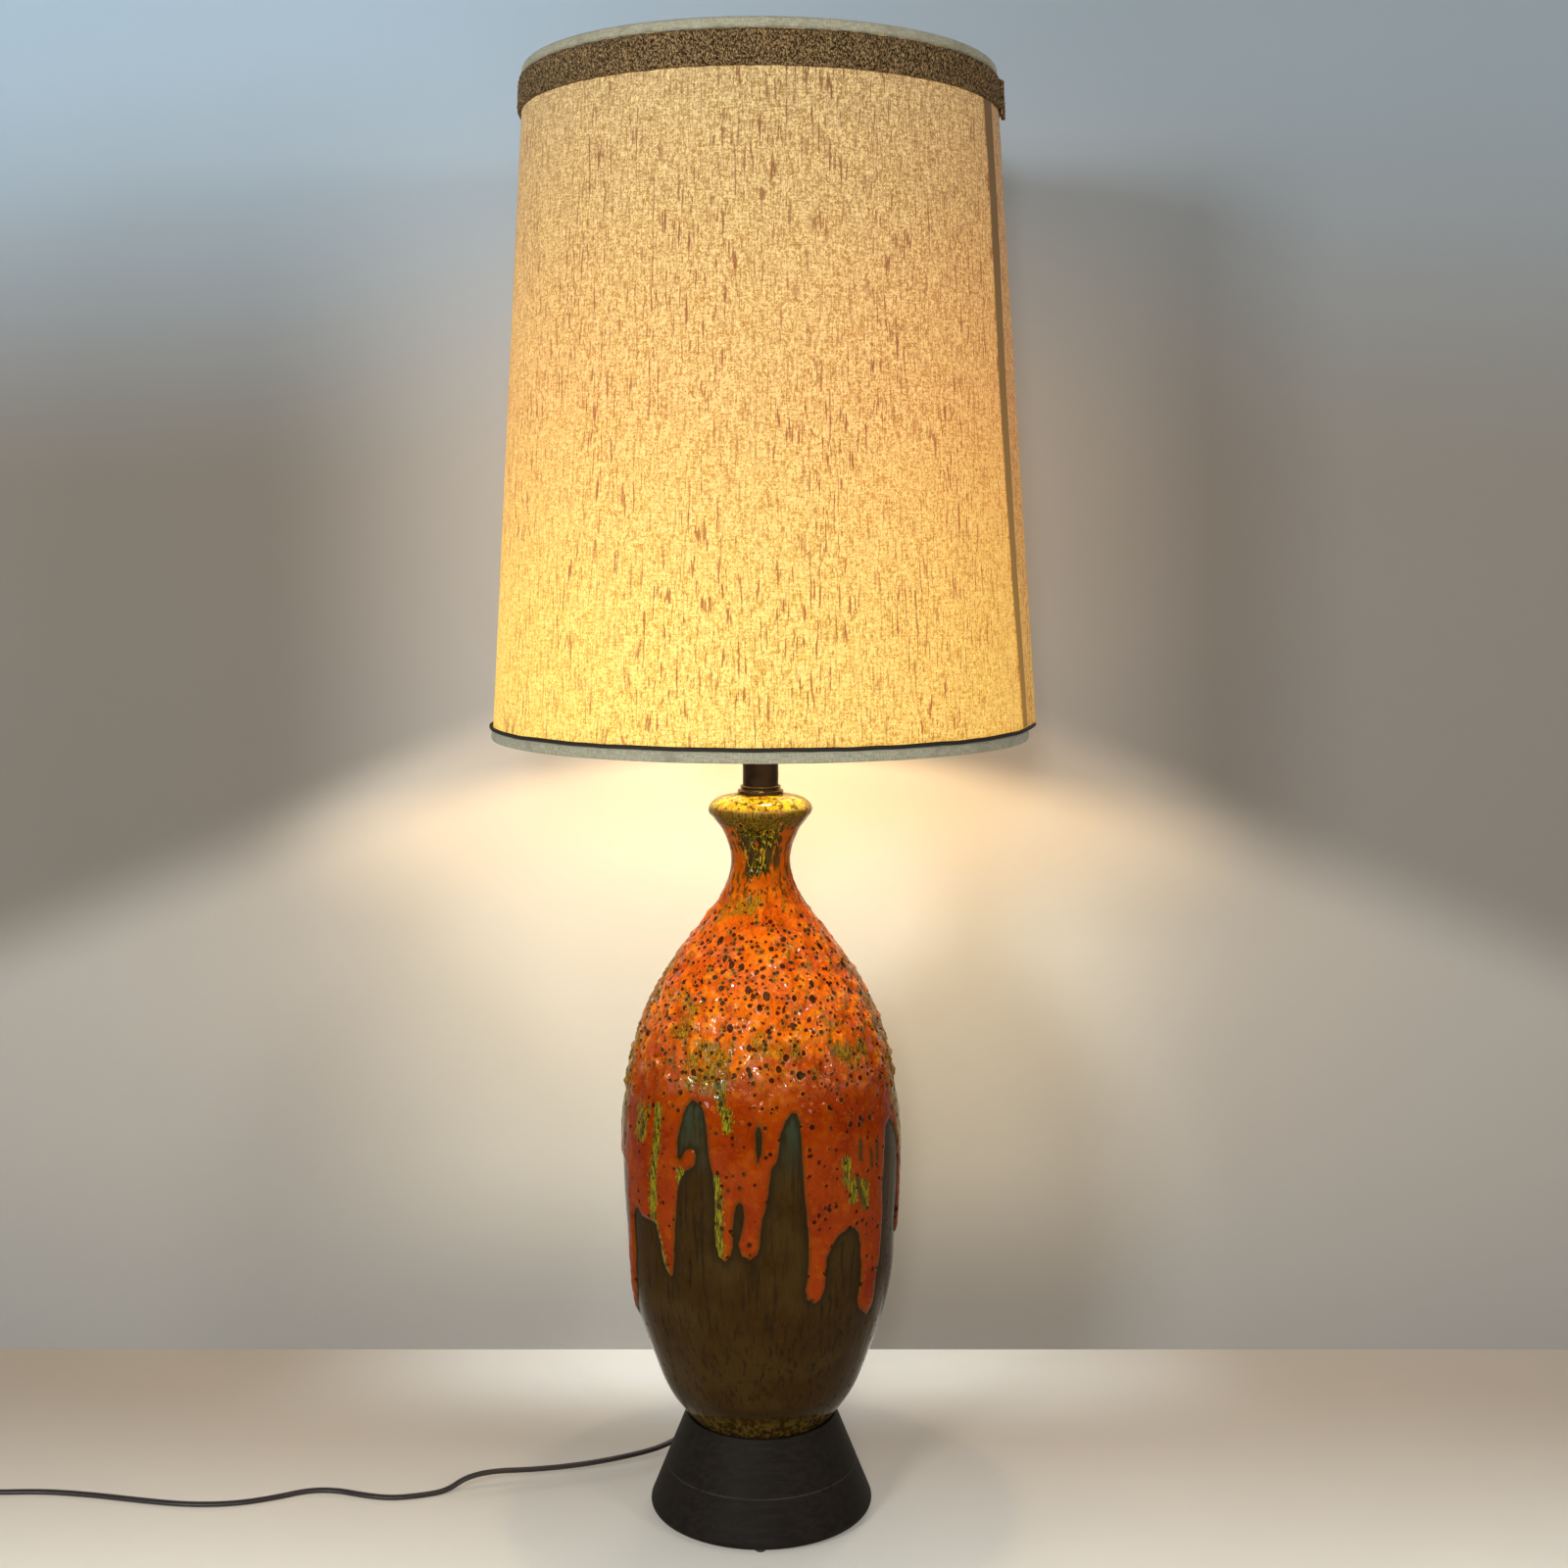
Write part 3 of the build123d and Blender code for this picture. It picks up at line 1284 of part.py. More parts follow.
write("wood_base_lower", wood_base_lower())
write("wood_base_upper", wood_base_upper())
write("rubber_feet", rubber_feet())
write("ceramic_body", ceramic_body())
write("base_washer", base_washer())
write("base_locknut", base_locknut())
write("lamp_pipe", lamp_pipe())
write("neck_ring", neck_ring())
write("neck_tube", neck_tube())
write("harp_saddle", harp_saddle())
write("saddle_locknut", saddle_locknut())
write("socket_cap", socket_cap())
write("cap_set_screw", cap_set_screw())
write("socket_shell", socket_shell())
write("socket_liner", socket_liner())
write("socket_body", socket_body())
write("screw_shell", screw_shell())
write("centre_contact", centre_contact())
write("terminal_screws", terminal_screws())
write("lead_wires", lead_wires())
write("switch_key_shaft", switch_key_shaft())
write("switch_key_knob", switch_key_knob())
write("bulb_contact", bulb_contact())
write("bulb_insulator", bulb_insulator())
write("bulb_cap", bulb_cap())
write("bulb_glass", bulb_glass())
write("bulb_stem", bulb_stem())
write("harp_wire", harp_wire())
write("ferrule_left", ferrule(-1))
write("ferrule_right", ferrule(1))
write("harp_stud", harp_stud())
write("finial", finial())
write("shade_fitter", shade_fitter())
write("shade_ring_top", shade_ring_top())
write("shade_ring_bottom", shade_ring_bottom())
write("shade_liner", shade_liner())
write("shade_fabric", shade_fabric())
write("shade_tape_bottom", shade_tape_bottom())
write("shade_piping", shade_piping())
write("shade_gimp", shade_gimp())
write("shade_gimp_tail", shade_gimp_tail())
write("shade_tape_top", shade_tape_top())
write("shade_seam", shade_seam())
write("cord_bushing", cord_bushing())
write("cord_inside", cord_inside())
write("cord_free", free_solid)
write("cord_coil", cord_coil(coil_wire))
write("cord_tail", cord_tail(coil_end))
write("plug_body", plug_body(coil_end))
write("plug_blades", plug_blades(coil_end))

total = free_length + coil_wire.length + PLUG_TAIL
print("cord outside the lamp:", round(total, 1))
print("heights:", round(tube_top, 1), round(shoulder_z, 1), round(shell_top, 1))
print("harp top", round(harp_top, 1), "shade", round(shade_bottom, 1), round(shade_top, 1))
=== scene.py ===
# %% [markdown]
# # A drip-glazed ceramic table lamp, dressed in Blender
# The real lamp is a tall thrown bottle under a thick orange glaze that has run down in long
# drips. It stands on a turned, stained wooden base and carries a tall drum shade of slubbed
# cloth, lit from within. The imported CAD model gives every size, joint and mount. Blender adds
# what CAD leaves out: the glaze, the weave, the wool braid and the light. Loading the model
# comes first, because every new piece is placed on it.

import math

import bpy
import numpy as np
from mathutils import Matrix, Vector, noise


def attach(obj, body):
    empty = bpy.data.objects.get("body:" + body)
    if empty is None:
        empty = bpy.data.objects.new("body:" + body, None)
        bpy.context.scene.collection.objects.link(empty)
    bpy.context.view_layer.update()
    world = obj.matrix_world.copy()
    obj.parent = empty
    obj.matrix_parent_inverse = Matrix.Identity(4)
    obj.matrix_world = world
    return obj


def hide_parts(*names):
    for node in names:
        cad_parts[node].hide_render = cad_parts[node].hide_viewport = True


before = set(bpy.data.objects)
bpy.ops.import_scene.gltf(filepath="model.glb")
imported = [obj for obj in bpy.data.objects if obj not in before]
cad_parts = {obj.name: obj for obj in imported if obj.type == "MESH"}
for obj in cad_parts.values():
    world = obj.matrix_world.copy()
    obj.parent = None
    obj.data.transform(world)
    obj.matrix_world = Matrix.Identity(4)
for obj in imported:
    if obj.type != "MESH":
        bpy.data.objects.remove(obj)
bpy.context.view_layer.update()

# %% [markdown]
# ## The camera
# The picture was taken from about a metre and a half away, a little above the middle of the
# lamp and tipped down a few degrees. The lens and the tilt were fitted to the ellipses of the
# shade's two rims and of the base, so the drawn rims land where the photographed ones are.

# %% Stand the camera
MM = 0.001
CAMERA_PLACE = (0.018, -1.5644, 0.7653)
CAMERA_TILT = 83.18
LENS = 47.16
SENSOR = 36.0


def clear_selection():
    """Operators act on all that is selected, so each piece starts from nothing selected."""
    bpy.ops.object.select_all(action="DESELECT")


clear_selection()
bpy.ops.object.camera_add(location=CAMERA_PLACE, rotation=(math.radians(CAMERA_TILT), 0, 0))
camera = bpy.context.object
camera.name = "photo_camera"
camera.data.lens = LENS
camera.data.sensor_width = SENSOR
camera.data.sensor_fit = "HORIZONTAL"
camera.data.dof.use_dof = False
bpy.context.scene.camera = camera
print("camera at", CAMERA_PLACE, "lens", LENS)

# %% [markdown]
# ## The cord's route
# The lead is brown twin flex, two soft cores side by side. It leaves a rubber bushing behind
# the base, turns left, bridges down to the floor and wanders out of the picture. The route is
# one NURBS spline, because a real flex has no corners: its control points are the same ones
# that the CAD tube follows. The rest of the lead is put away in a neat two-layer coil beside
# the lamp, outside the picture, with the plug next to it.

# %% Route points of the free stretch, in millimetres
FLOOR_Z = 1.8
EXIT = (-12.565, 102.331, 13.0)
FREE_STRETCH = [
    EXIT,
    (-13.97, 113.75, 13.0),
    (-21.2, 122.6, 13.0),
    (-32.5, 126.7, 13.0),
    (-46.2, 123.8, 12.8),
    (-62.0, 104.0, 12.5),
    (-81.0, 75.0, 12.1),
    (-107.0, 59.0, 11.4),
    (-146.0, 45.5, 9.6),
    (-187.0, 36.0, 9.6),
    (-219.0, 26.5, 13.0),
    (-240.0, 21.0, 10.0),
    (-254.0, 14.5, FLOOR_Z),
    (-273.0, 6.5, FLOOR_Z),
    (-297.0, 1.5, FLOOR_Z),
    (-321.0, 7.0, FLOOR_Z),
    (-343.0, 15.5, FLOOR_Z),
    (-366.0, 15.5, FLOOR_Z),
    (-389.0, 3.0, FLOOR_Z),
    (-419.0, -8.0, FLOOR_Z),
    (-457.0, -9.5, FLOOR_Z),
    (-497.0, -2.0, FLOOR_Z),
    (-538.0, 7.5, FLOOR_Z),
    (-579.0, 13.5, FLOOR_Z),
    (-616.6, 11.9, FLOOR_Z),
    (-636.0, 12.2, FLOOR_Z),
]

# %% [markdown]
# The coil's turns are more points of the same spline. A spiral that shrinks by one cord's
# pitch a turn lies flat on the floor, and a second one grows again on top of it. A spline of
# this order runs a little inside its points, so the spiral is drawn a touch wider.

# %% Route points of the coil
TURN_POINTS = 16
PITCH = 6.0
COIL_X = -650.0
IN_Y, OUT_Y = -27.5, -24.5
OUTER, INNER = 38.7, 20.7
UPPER_Z = 5.6
WIDER = 1 / 0.981


def spiral(centre_y, first_radius, growth, first, last, height):
    """Points round a flat spiral; angles are counted from the top of the coil, leftwards."""
    step = 360 / TURN_POINTS
    count = round((last - first) / step)
    points = []
    for n in range(count + 1):
        angle = first + n * step
        radius = WIDER * (first_radius + growth * n * step / 360)
        turn = math.radians(angle)
        points.append((COIL_X - radius * math.sin(turn), centre_y + radius * math.cos(turn), height))
    return points


lower = spiral(IN_Y, OUTER, -PITCH, 0, 1080, FLOOR_Z)
upper = spiral(OUT_Y, INNER, PITCH, 180, 1170, UPPER_Z)
climb = []
for n in range(1, 7):
    share = n / 7
    turn = math.radians(180 * share)
    radius = WIDER * 19.6
    height = FLOOR_Z + (UPPER_Z - FLOOR_Z) * share
    climb.append((COIL_X - radius * math.sin(turn), -26 + radius * math.cos(turn), height))
tail = [(-687.2, -31.4, 6.2), (-687.2, -42.0, 7.4), (-687.2, -54.0, 8.7), (-687.2, -60.0, 8.7), (-687.2, -65.4, 8.7)]
route = FREE_STRETCH + lower + climb + upper + tail
print("route points:", len(route), "of which in the coil:", len(lower) + len(climb) + len(upper))

# %% [markdown]
# Blender's spline becomes the cord in two steps. Without a section the curve is read back as
# the plain line that the cord follows, which also measures its length. With the twin section
# swept along it and kept upright, the two cores lie side by side on the floor.

# %% Sweep the twin flex along the route
def nurbs_line(name, points):
    """An open NURBS spline through the points' neighbourhood, in metres."""
    data = bpy.data.curves.new(name, "CURVE")
    data.dimensions = "3D"
    data.twist_mode = "Z_UP"
    data.resolution_u = 5
    spline = data.splines.new("NURBS")
    spline.points.add(len(points) - 1)
    for point, place in zip(spline.points, points):
        point.co = (place[0] * MM, place[1] * MM, place[2] * MM, 1)
    spline.order_u = 3
    spline.use_endpoint_u = True
    made = bpy.data.objects.new(name, data)
    bpy.context.collection.objects.link(made)
    return made


def line_points(curve):
    """The points that the bare curve runs through, as Blender gives them."""
    line = bpy.data.meshes.new_from_object(curve)
    points = [tuple(v.co) for v in line.vertices]
    bpy.data.meshes.remove(line)
    return points


CORE_RADIUS = 1.75
CORE_OFFSET = 0.95
cord_curve = nurbs_line("cord_route", route)
cord_line = line_points(cord_curve)
cord_length = sum(math.dist(a, b) for a, b in zip(cord_line, cord_line[1:]))

section_data = bpy.data.curves.new("twin_section", "CURVE")
section_data.dimensions = "2D"
section_spline = section_data.splines.new("POLY")
core = [math.radians(a) for a in range(-120, 121, 24)]
rim = [(CORE_OFFSET + CORE_RADIUS * math.cos(a), CORE_RADIUS * math.sin(a)) for a in core]
rim += [(-x, -y) for x, y in rim]
section_spline.points.add(len(rim) - 1)
for point, (x, y) in zip(section_spline.points, rim):
    point.co = (x * MM, y * MM, 0, 1)
section_spline.use_cyclic_u = True
section = bpy.data.objects.new("twin_section", section_data)
bpy.context.collection.objects.link(section)
cord_curve.data.bevel_mode = "OBJECT"
cord_curve.data.bevel_object = section
cord_curve.data.use_fill_caps = True
bpy.context.view_layer.update()
swept = cord_curve.evaluated_get(bpy.context.evaluated_depsgraph_get())
flex = bpy.data.objects.new("flex_cord", bpy.data.meshes.new_from_object(swept))
bpy.context.collection.objects.link(flex)
bpy.data.objects.remove(cord_curve)
bpy.data.objects.remove(section)
print("cord length", round(cord_length, 4), "m, faces", len(flex.data.polygons))

# %% [markdown]
# ## Tools for finishes
# Every finish is a small network of nodes. The same few steps come back each time: place a
# pattern on the piece, make noise, mix two colours by it, and turn a height into relief. Each
# step gets a short helper, so that a finish reads like a recipe.

# %% Helpers for finishes


def new_finish(name, colour, roughness, metallic=0.0, specular=0.5):
    """A material with one Principled shader; the plain values go on its own sockets."""
    material = bpy.data.materials.new(name)
    material.use_nodes = True
    tree = material.node_tree
    shader = tree.nodes["Principled BSDF"]
    shader.inputs["Base Color"].default_value = (*colour, 1)
    shader.inputs["Roughness"].default_value = roughness
    shader.inputs["Metallic"].default_value = metallic
    shader.inputs["Specular IOR Level"].default_value = specular
    return material, tree, shader


def feed(tree, socket, value):
    """Sets a socket, or links it when the value comes from another node."""
    if isinstance(value, bpy.types.NodeSocket):
        tree.links.new(value, socket)
    else:
        socket.default_value = value


def placed(tree, scale=(1, 1, 1), source="Object", turn=(0, 0, 0)):
    """Coordinates fixed to the piece, scaled in repeats a metre."""
    origin = tree.nodes.new("ShaderNodeTexCoord")
    mapping = tree.nodes.new("ShaderNodeMapping")
    mapping.inputs["Scale"].default_value = scale
    mapping.inputs["Rotation"].default_value = turn
    tree.links.new(origin.outputs[source], mapping.inputs["Vector"])
    return mapping.outputs["Vector"]


def clouds(tree, vector, scale, detail=3, roughness=0.5, distortion=0.0):
    """Noise from 0 to 1."""
    node = tree.nodes.new("ShaderNodeTexNoise")
    tree.links.new(vector, node.inputs["Vector"])
    node.inputs["Scale"].default_value = scale
    node.inputs["Detail"].default_value = detail
    node.inputs["Roughness"].default_value = roughness
    node.inputs["Distortion"].default_value = distortion
    return node.outputs["Fac"]


def cells(tree, vector, scale, feature="F1", output="Distance", randomness=1.0):
    """Voronoi cells: the distance to the nearest centre, or a colour for each cell."""
    node = tree.nodes.new("ShaderNodeTexVoronoi")
    node.feature = feature
    tree.links.new(vector, node.inputs["Vector"])
    node.inputs["Scale"].default_value = scale
    node.inputs["Randomness"].default_value = randomness
    return node.outputs[output]


def step(tree, value, low, high, start=0.0, end=1.0):
    """A smooth step from start to end as the value goes from low to high."""
    node = tree.nodes.new("ShaderNodeMapRange")
    node.interpolation_type = "SMOOTHSTEP"
    feed(tree, node.inputs["Value"], value)
    feed(tree, node.inputs["From Min"], low)
    feed(tree, node.inputs["From Max"], high)
    feed(tree, node.inputs["To Min"], start)
    feed(tree, node.inputs["To Max"], end)
    return node.outputs["Result"]


def maths(tree, operation, first, second=0.0):
    """One sum on two numbers."""
    node = tree.nodes.new("ShaderNodeMath")
    node.operation = operation
    feed(tree, node.inputs[0], first)
    feed(tree, node.inputs[1], second)
    return node.outputs[0]


def times(tree, first, second):
    """Two numbers multiplied."""
    return maths(tree, "MULTIPLY", first, second)


def plus(tree, first, second):
    """Two numbers added."""
    return maths(tree, "ADD", first, second)


def less(tree, first, second):
    """The first number less the second."""
    return maths(tree, "SUBTRACT", first, second)


def larger(tree, first, second):
    """The larger of two numbers."""
    return maths(tree, "MAXIMUM", first, second)


def unsigned(tree, value):
    """A number without its sign."""
    return maths(tree, "ABSOLUTE", value)


def mixed(tree, share, first, second, way="MIX"):
    """Colour between two colours, by a share from 0 to 1."""
    node = tree.nodes.new("ShaderNodeMix")
    node.data_type = "RGBA"
    node.blend_type = way
    node.clamp_factor = True
    feed(tree, node.inputs[0], share)
    for socket, colour in ((node.inputs[6], first), (node.inputs[7], second)):
        feed(tree, socket, (*colour, 1) if isinstance(colour, tuple) else colour)
    return node.outputs[2]


def graded(tree, value, stops):
    """A colour scale: stops are (place from 0 to 1, colour)."""
    node = tree.nodes.new("ShaderNodeValToRGB")
    scale = node.color_ramp
    while len(scale.elements) < len(stops):
        scale.elements.new(0.5)
    for element, (place, colour) in zip(scale.elements, stops):
        element.position = place
        element.color = (*colour, 1)
    feed(tree, node.inputs["Fac"], value)
    return node.outputs["Color"]


def relief(tree, shader, height, depth, strength=1.0, under=None):
    """Turns a height from 0 to 1 into bumps that deep, in metres."""
    node = tree.nodes.new("ShaderNodeBump")
    node.inputs["Strength"].default_value = strength
    node.inputs["Distance"].default_value = depth
    feed(tree, node.inputs["Height"], height)
    if under is not None:
        tree.links.new(under, node.inputs["Normal"])
    tree.links.new(node.outputs["Normal"], shader.inputs["Normal"])
    return node.outputs["Normal"]


def place_of(tree, axis):
    """How far along X, Y or Z a point lies, in metres."""
    split = tree.nodes.new("ShaderNodeSeparateXYZ")
    tree.links.new(placed(tree), split.inputs["Vector"])
    return split.outputs[axis]


def height_of(tree):
    """The height above the floor in metres."""
    return place_of(tree, "Z")


def stored(tree, name):
    """A number kept on the mesh's points."""
    node = tree.nodes.new("ShaderNodeAttribute")
    node.attribute_name = name
    return node.outputs["Fac"]


def paint(finish, *names):
    """Gives a finish to CAD nodes, whose shape stays as it is."""
    for name in names:
        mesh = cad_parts[name].data
        mesh.materials.clear()
        mesh.materials.append(finish)


print("finish helpers ready")

# %% [markdown]
# ## Metal, wood and rubber on the CAD nodes
# Where a turned or stamped part already has its right shape, it keeps its CAD mesh and only
# gets a finish. Metal is never one even tone: fine turning marks, a slight tarnish and
# fingermarks change its roughness from place to place.

# %% Metals


def metal(name, colour, tarnish, roughness, marks=900):
    """Satin metal with fine turning marks round the axis and cloudy tarnish."""
    material, tree, shader = new_finish(name, colour, roughness, 1.0)
    age = step(tree, clouds(tree, placed(tree), 90, 5, 0.6), 0.35, 0.75)
    tree.links.new(mixed(tree, age, colour, tarnish), shader.inputs["Base Color"])
    lines = clouds(tree, placed(tree, (40, 40, marks)), 1.0, 3, 0.6)
    tree.links.new(step(tree, lines, 0.2, 0.8, roughness * 0.75, roughness * 1.35), shader.inputs["Roughness"])
    relief(tree, shader, lines, 0.00006, 0.5)
    return material


brass = metal("aged_brass", (0.50, 0.33, 0.13), (0.24, 0.13, 0.05), 0.3)
ring_brass = metal("browned_brass", (0.12, 0.075, 0.028), (0.055, 0.032, 0.013), 0.2)
bronze = metal("dark_bronze", (0.058, 0.035, 0.019), (0.026, 0.016, 0.009), 0.34)
steel = metal("zinc_plate", (0.55, 0.55, 0.53), (0.36, 0.35, 0.33), 0.38)
cap_metal = metal("cap_aluminium", (0.72, 0.72, 0.71), (0.5, 0.5, 0.49), 0.3)
blade_brass = metal("blade_brass", (0.74, 0.6, 0.35), (0.5, 0.36, 0.18), 0.22)
solder = metal("solder", (0.5, 0.5, 0.51), (0.33, 0.33, 0.34), 0.5)
paint(brass, "socket_cap", "socket_shell", "screw_shell", "harp_stud", "finial")
paint(brass, "ferrule_left", "ferrule_right", "harp_wire", "harp_saddle", "switch_key_shaft")
paint(bronze, "neck_tube")
paint(ring_brass, "neck_ring")
paint(steel, "base_washer", "base_locknut", "lamp_pipe", "saddle_locknut", "cap_set_screw", "terminal_screws")
paint(cap_metal, "bulb_cap")
paint(blade_brass, "plug_blades", "centre_contact")
paint(solder, "bulb_contact")
print("metals:", 7)

# %% Mouldings, card and rubber


def moulding(name, colour, light, roughness, grain=1500):
    """Moulded or pressed material: a faint cloud of colour and a fine grain."""
    material, tree, shader = new_finish(name, colour, roughness)
    cloud = clouds(tree, placed(tree), 60, 4)
    tree.links.new(mixed(tree, cloud, colour, light), shader.inputs["Base Color"])
    fine = clouds(tree, placed(tree), grain, 3, 0.6)
    tree.links.new(step(tree, fine, 0.2, 0.8, roughness * 0.85, min(1, roughness * 1.2)), shader.inputs["Roughness"])
    relief(tree, shader, fine, 0.0001, 0.5)
    return material


paint(moulding("foot_rubber", (0.02, 0.02, 0.02), (0.045, 0.043, 0.04), 0.8), "rubber_feet")
black_moulding = moulding("black_moulding", (0.016, 0.014, 0.013), (0.04, 0.035, 0.03), 0.32)
paint(black_moulding, "switch_key_knob", "socket_body", "bulb_insulator")
paint(moulding("socket_card", (0.32, 0.23, 0.14), (0.42, 0.32, 0.2), 0.85, 700), "socket_liner")
paint(moulding("lead_skin", (0.03, 0.026, 0.022), (0.07, 0.06, 0.05), 0.5), "lead_wires")
paint(moulding("bushing_rubber", (0.02, 0.016, 0.013), (0.045, 0.038, 0.03), 0.62), "cord_bushing")
wire_enamel = moulding("wire_enamel", (0.6, 0.55, 0.46), (0.74, 0.7, 0.62), 0.4)
paint(wire_enamel, "shade_fitter", "shade_ring_top", "shade_ring_bottom")
flex_skin = moulding("flex_skin", (0.010, 0.0055, 0.006), (0.024, 0.014, 0.014), 0.38)
paint(flex_skin, "cord_inside", "plug_body")
print("mouldings ready")

# %% [markdown]
# The base is a cone of dark stained wood, satin rather than glossy. The stain hides most of
# the grain, so the grain is only a faint change of tone and a fine relief. The base was glued
# from two boards, and along their joint a thin, slightly paler line is painted as a highlight.

# %% Stained wood
JOINT_Z = 0.038
wood, tree, shader = new_finish("stained_wood", (0.024, 0.018, 0.014), 0.6, 0, 0.1)
grain = clouds(tree, placed(tree, (30, 260, 260)), 1.0, 6, 0.6, 0.4)
pores = step(tree, clouds(tree, placed(tree, (120, 1500, 1500)), 1.0, 3, 0.6), 0.52, 0.62)
tone = mixed(tree, step(tree, grain, 0.35, 0.65), (0.0082, 0.0058, 0.0040), (0.0170, 0.0122, 0.0084))
tone = mixed(tree, times(tree, pores, 0.7), tone, (0.011, 0.0085, 0.007))
# Painted highlight: a thin paler line along the joint between the two boards.
off_joint = unsigned(tree, less(tree, height_of(tree), JOINT_Z))
joint_highlight_line = times(tree, step(tree, off_joint, 0.0005, 0.0002), step(tree, grain, 0.3, 0.55, 0.2, 0.8))
tone = mixed(tree, joint_highlight_line, tone, (0.055, 0.044, 0.036))
tree.links.new(tone, shader.inputs["Base Color"])
tree.links.new(step(tree, grain, 0.2, 0.8, 0.5, 0.66), shader.inputs["Roughness"])
relief(tree, shader, less(tree, grain, pores), 0.0002, 0.45)
paint(wood, "wood_base_lower", "wood_base_upper")

# %% [markdown]
# The bulb is lit. Its glass glows warm white, brightest round the filament, and it lets some of
# what is inside show. The light itself comes from a lamp object, placed later.

# %% Bulb glass and stem
glow_glass, tree, shader = new_finish("lit_glass", (1.0, 0.96, 0.88), 0.25)
frost = clouds(tree, placed(tree), 200, 3)
tree.links.new(mixed(tree, frost, (1.0, 0.93, 0.78), (1.0, 0.97, 0.88)), shader.inputs["Base Color"])
shader.inputs["Transmission Weight"].default_value = 0.35
heat = step(tree, height_of(tree), 0.67, 0.735)
tree.links.new(mixed(tree, heat, (1.0, 0.55, 0.2), (1.0, 0.86, 0.58)), shader.inputs["Emission Color"])
shader.inputs["Emission Strength"].default_value = 3.0
paint(glow_glass, "bulb_glass")
stem, tree, shader = new_finish("stem_glass", (0.9, 0.92, 0.92), 0.1)
shader.inputs["Transmission Weight"].default_value = 0.6
ripple = clouds(tree, placed(tree), 400, 3)
tree.links.new(step(tree, ripple, 0.2, 0.8, 0.06, 0.2), shader.inputs["Roughness"])
relief(tree, shader, ripple, 0.0002, 0.4)
paint(stem, "bulb_stem")
print("bulb finishes ready")

# %% [markdown]
# ## Turning pieces on a lathe
# The bottle, the shade's cloth and its trims are all round, so they are drawn as one outline
# and spun. The outline starts as a plane merged to a single point, which is extruded from
# point to point, and the spin turns it into a skin. Doubles are merged and the normals are
# recalculated, because a spin may leave both wrong.

# %% The lathe


def lathe(name, outline, steps, closed=False):
    """Spins an outline of (radius, height) in millimetres round the lamp's axis."""
    clear_selection()
    bpy.ops.mesh.primitive_plane_add(size=MM)
    piece = bpy.context.object
    piece.name = piece.data.name = name
    bpy.ops.object.mode_set(mode="EDIT")
    bpy.ops.mesh.select_all(action="SELECT")
    bpy.ops.mesh.merge(type="CENTER")
    radius, height = outline[0]
    bpy.ops.transform.translate(value=(radius * MM, 0, height * MM))
    stops = outline[1:] + ([outline[0]] if closed else [])
    for next_radius, next_height in stops:
        move = ((next_radius - radius) * MM, 0, (next_height - height) * MM)
        bpy.ops.mesh.extrude_region_move(TRANSFORM_OT_translate={"value": move})
        radius, height = next_radius, next_height
    bpy.ops.mesh.select_all(action="SELECT")
    bpy.ops.mesh.spin(steps=steps, angle=2 * math.pi, center=(0, 0, 0), axis=(0, 0, 1))
    bpy.ops.mesh.select_all(action="SELECT")
    bpy.ops.mesh.remove_doubles(threshold=0.00001)
    bpy.ops.mesh.normals_make_consistent(inside=False)
    bpy.ops.object.mode_set(mode="OBJECT")
    bpy.ops.object.shade_smooth()
    return piece


def points_of(piece):
    """The mesh's points as an array, in millimetres."""
    flat = np.empty(len(piece.data.vertices) * 3, np.float32)
    piece.data.vertices.foreach_get("co", flat)
    return flat.reshape(-1, 3).astype(float) / MM


def set_points(piece, points):
    """Puts moved points back into the mesh."""
    piece.data.vertices.foreach_set("co", (points * MM).astype(np.float32).ravel())
    piece.data.update()


def keep_number(piece, name, values):
    """Stores a number on each point, for the finish to read."""
    layer = piece.data.attributes.new(name, "FLOAT", "POINT")
    layer.data.foreach_set("value", values.astype(np.float32))


def wrap_map(piece, radius, start):
    """A UV map in metres: round the axis from an angle in degrees, and up."""
    mesh = piece.data
    while mesh.uv_layers:
        mesh.uv_layers.remove(mesh.uv_layers[0])
    layer = mesh.uv_layers.new(name="wrap")
    points = points_of(piece)
    around = (np.degrees(np.arctan2(points[:, 0], -points[:, 1])) - start) % 360
    corners = np.empty(len(mesh.loops), np.int32)
    mesh.loops.foreach_get("vertex_index", corners)
    counts = np.empty(len(mesh.polygons), np.int32)
    mesh.polygons.foreach_get("loop_total", counts)
    face = np.repeat(np.arange(len(counts)), counts)
    angle = around[corners]
    widest = np.zeros(len(counts))
    np.maximum.at(widest, face, angle)
    angle = np.where(widest[face] - angle > 180, angle + 360, angle)
    uv = np.stack([np.radians(angle) * radius * MM, points[corners, 2] * MM], axis=1)
    layer.data.foreach_set("uv", uv.astype(np.float32).ravel())


def smooth_noise(points, size, seed=0.0):
    """Blender's own smooth noise from -1 to 1 at each point, with features that size."""
    offset = Vector((seed, seed * 0.7, -seed))
    return np.array([noise.noise(Vector(p) / size + offset) for p in points])


print("lathe ready")

# %% [markdown]
# ## The bottle's outline
# The bottle was thrown: a narrow foot in the base's cup, a long belly widest above its middle,
# a shoulder that runs into a thin neck, and a flared lip. Its outline is a few corners, each
# rounded by a curve from one side to the other, as in the CAD source.

# %% Outline of the bottle
BOTTLE_CORNERS = [
    (47.6, 70.5),
    (56.6, 78.0),
    (75.0, 102.5),
    (101.8, 176.5),
    (108.7, 259.4),
    (109.9, 324.0),
    (84.5, 420.6),
    (28.6, 493.4),
    (20.9, 520.3),
    (27.8, 542.4),
    (41.2, 559.2),
    (34.6, 567.8),
    (18.7, 571.0),
]
ROUNDING = 0.45


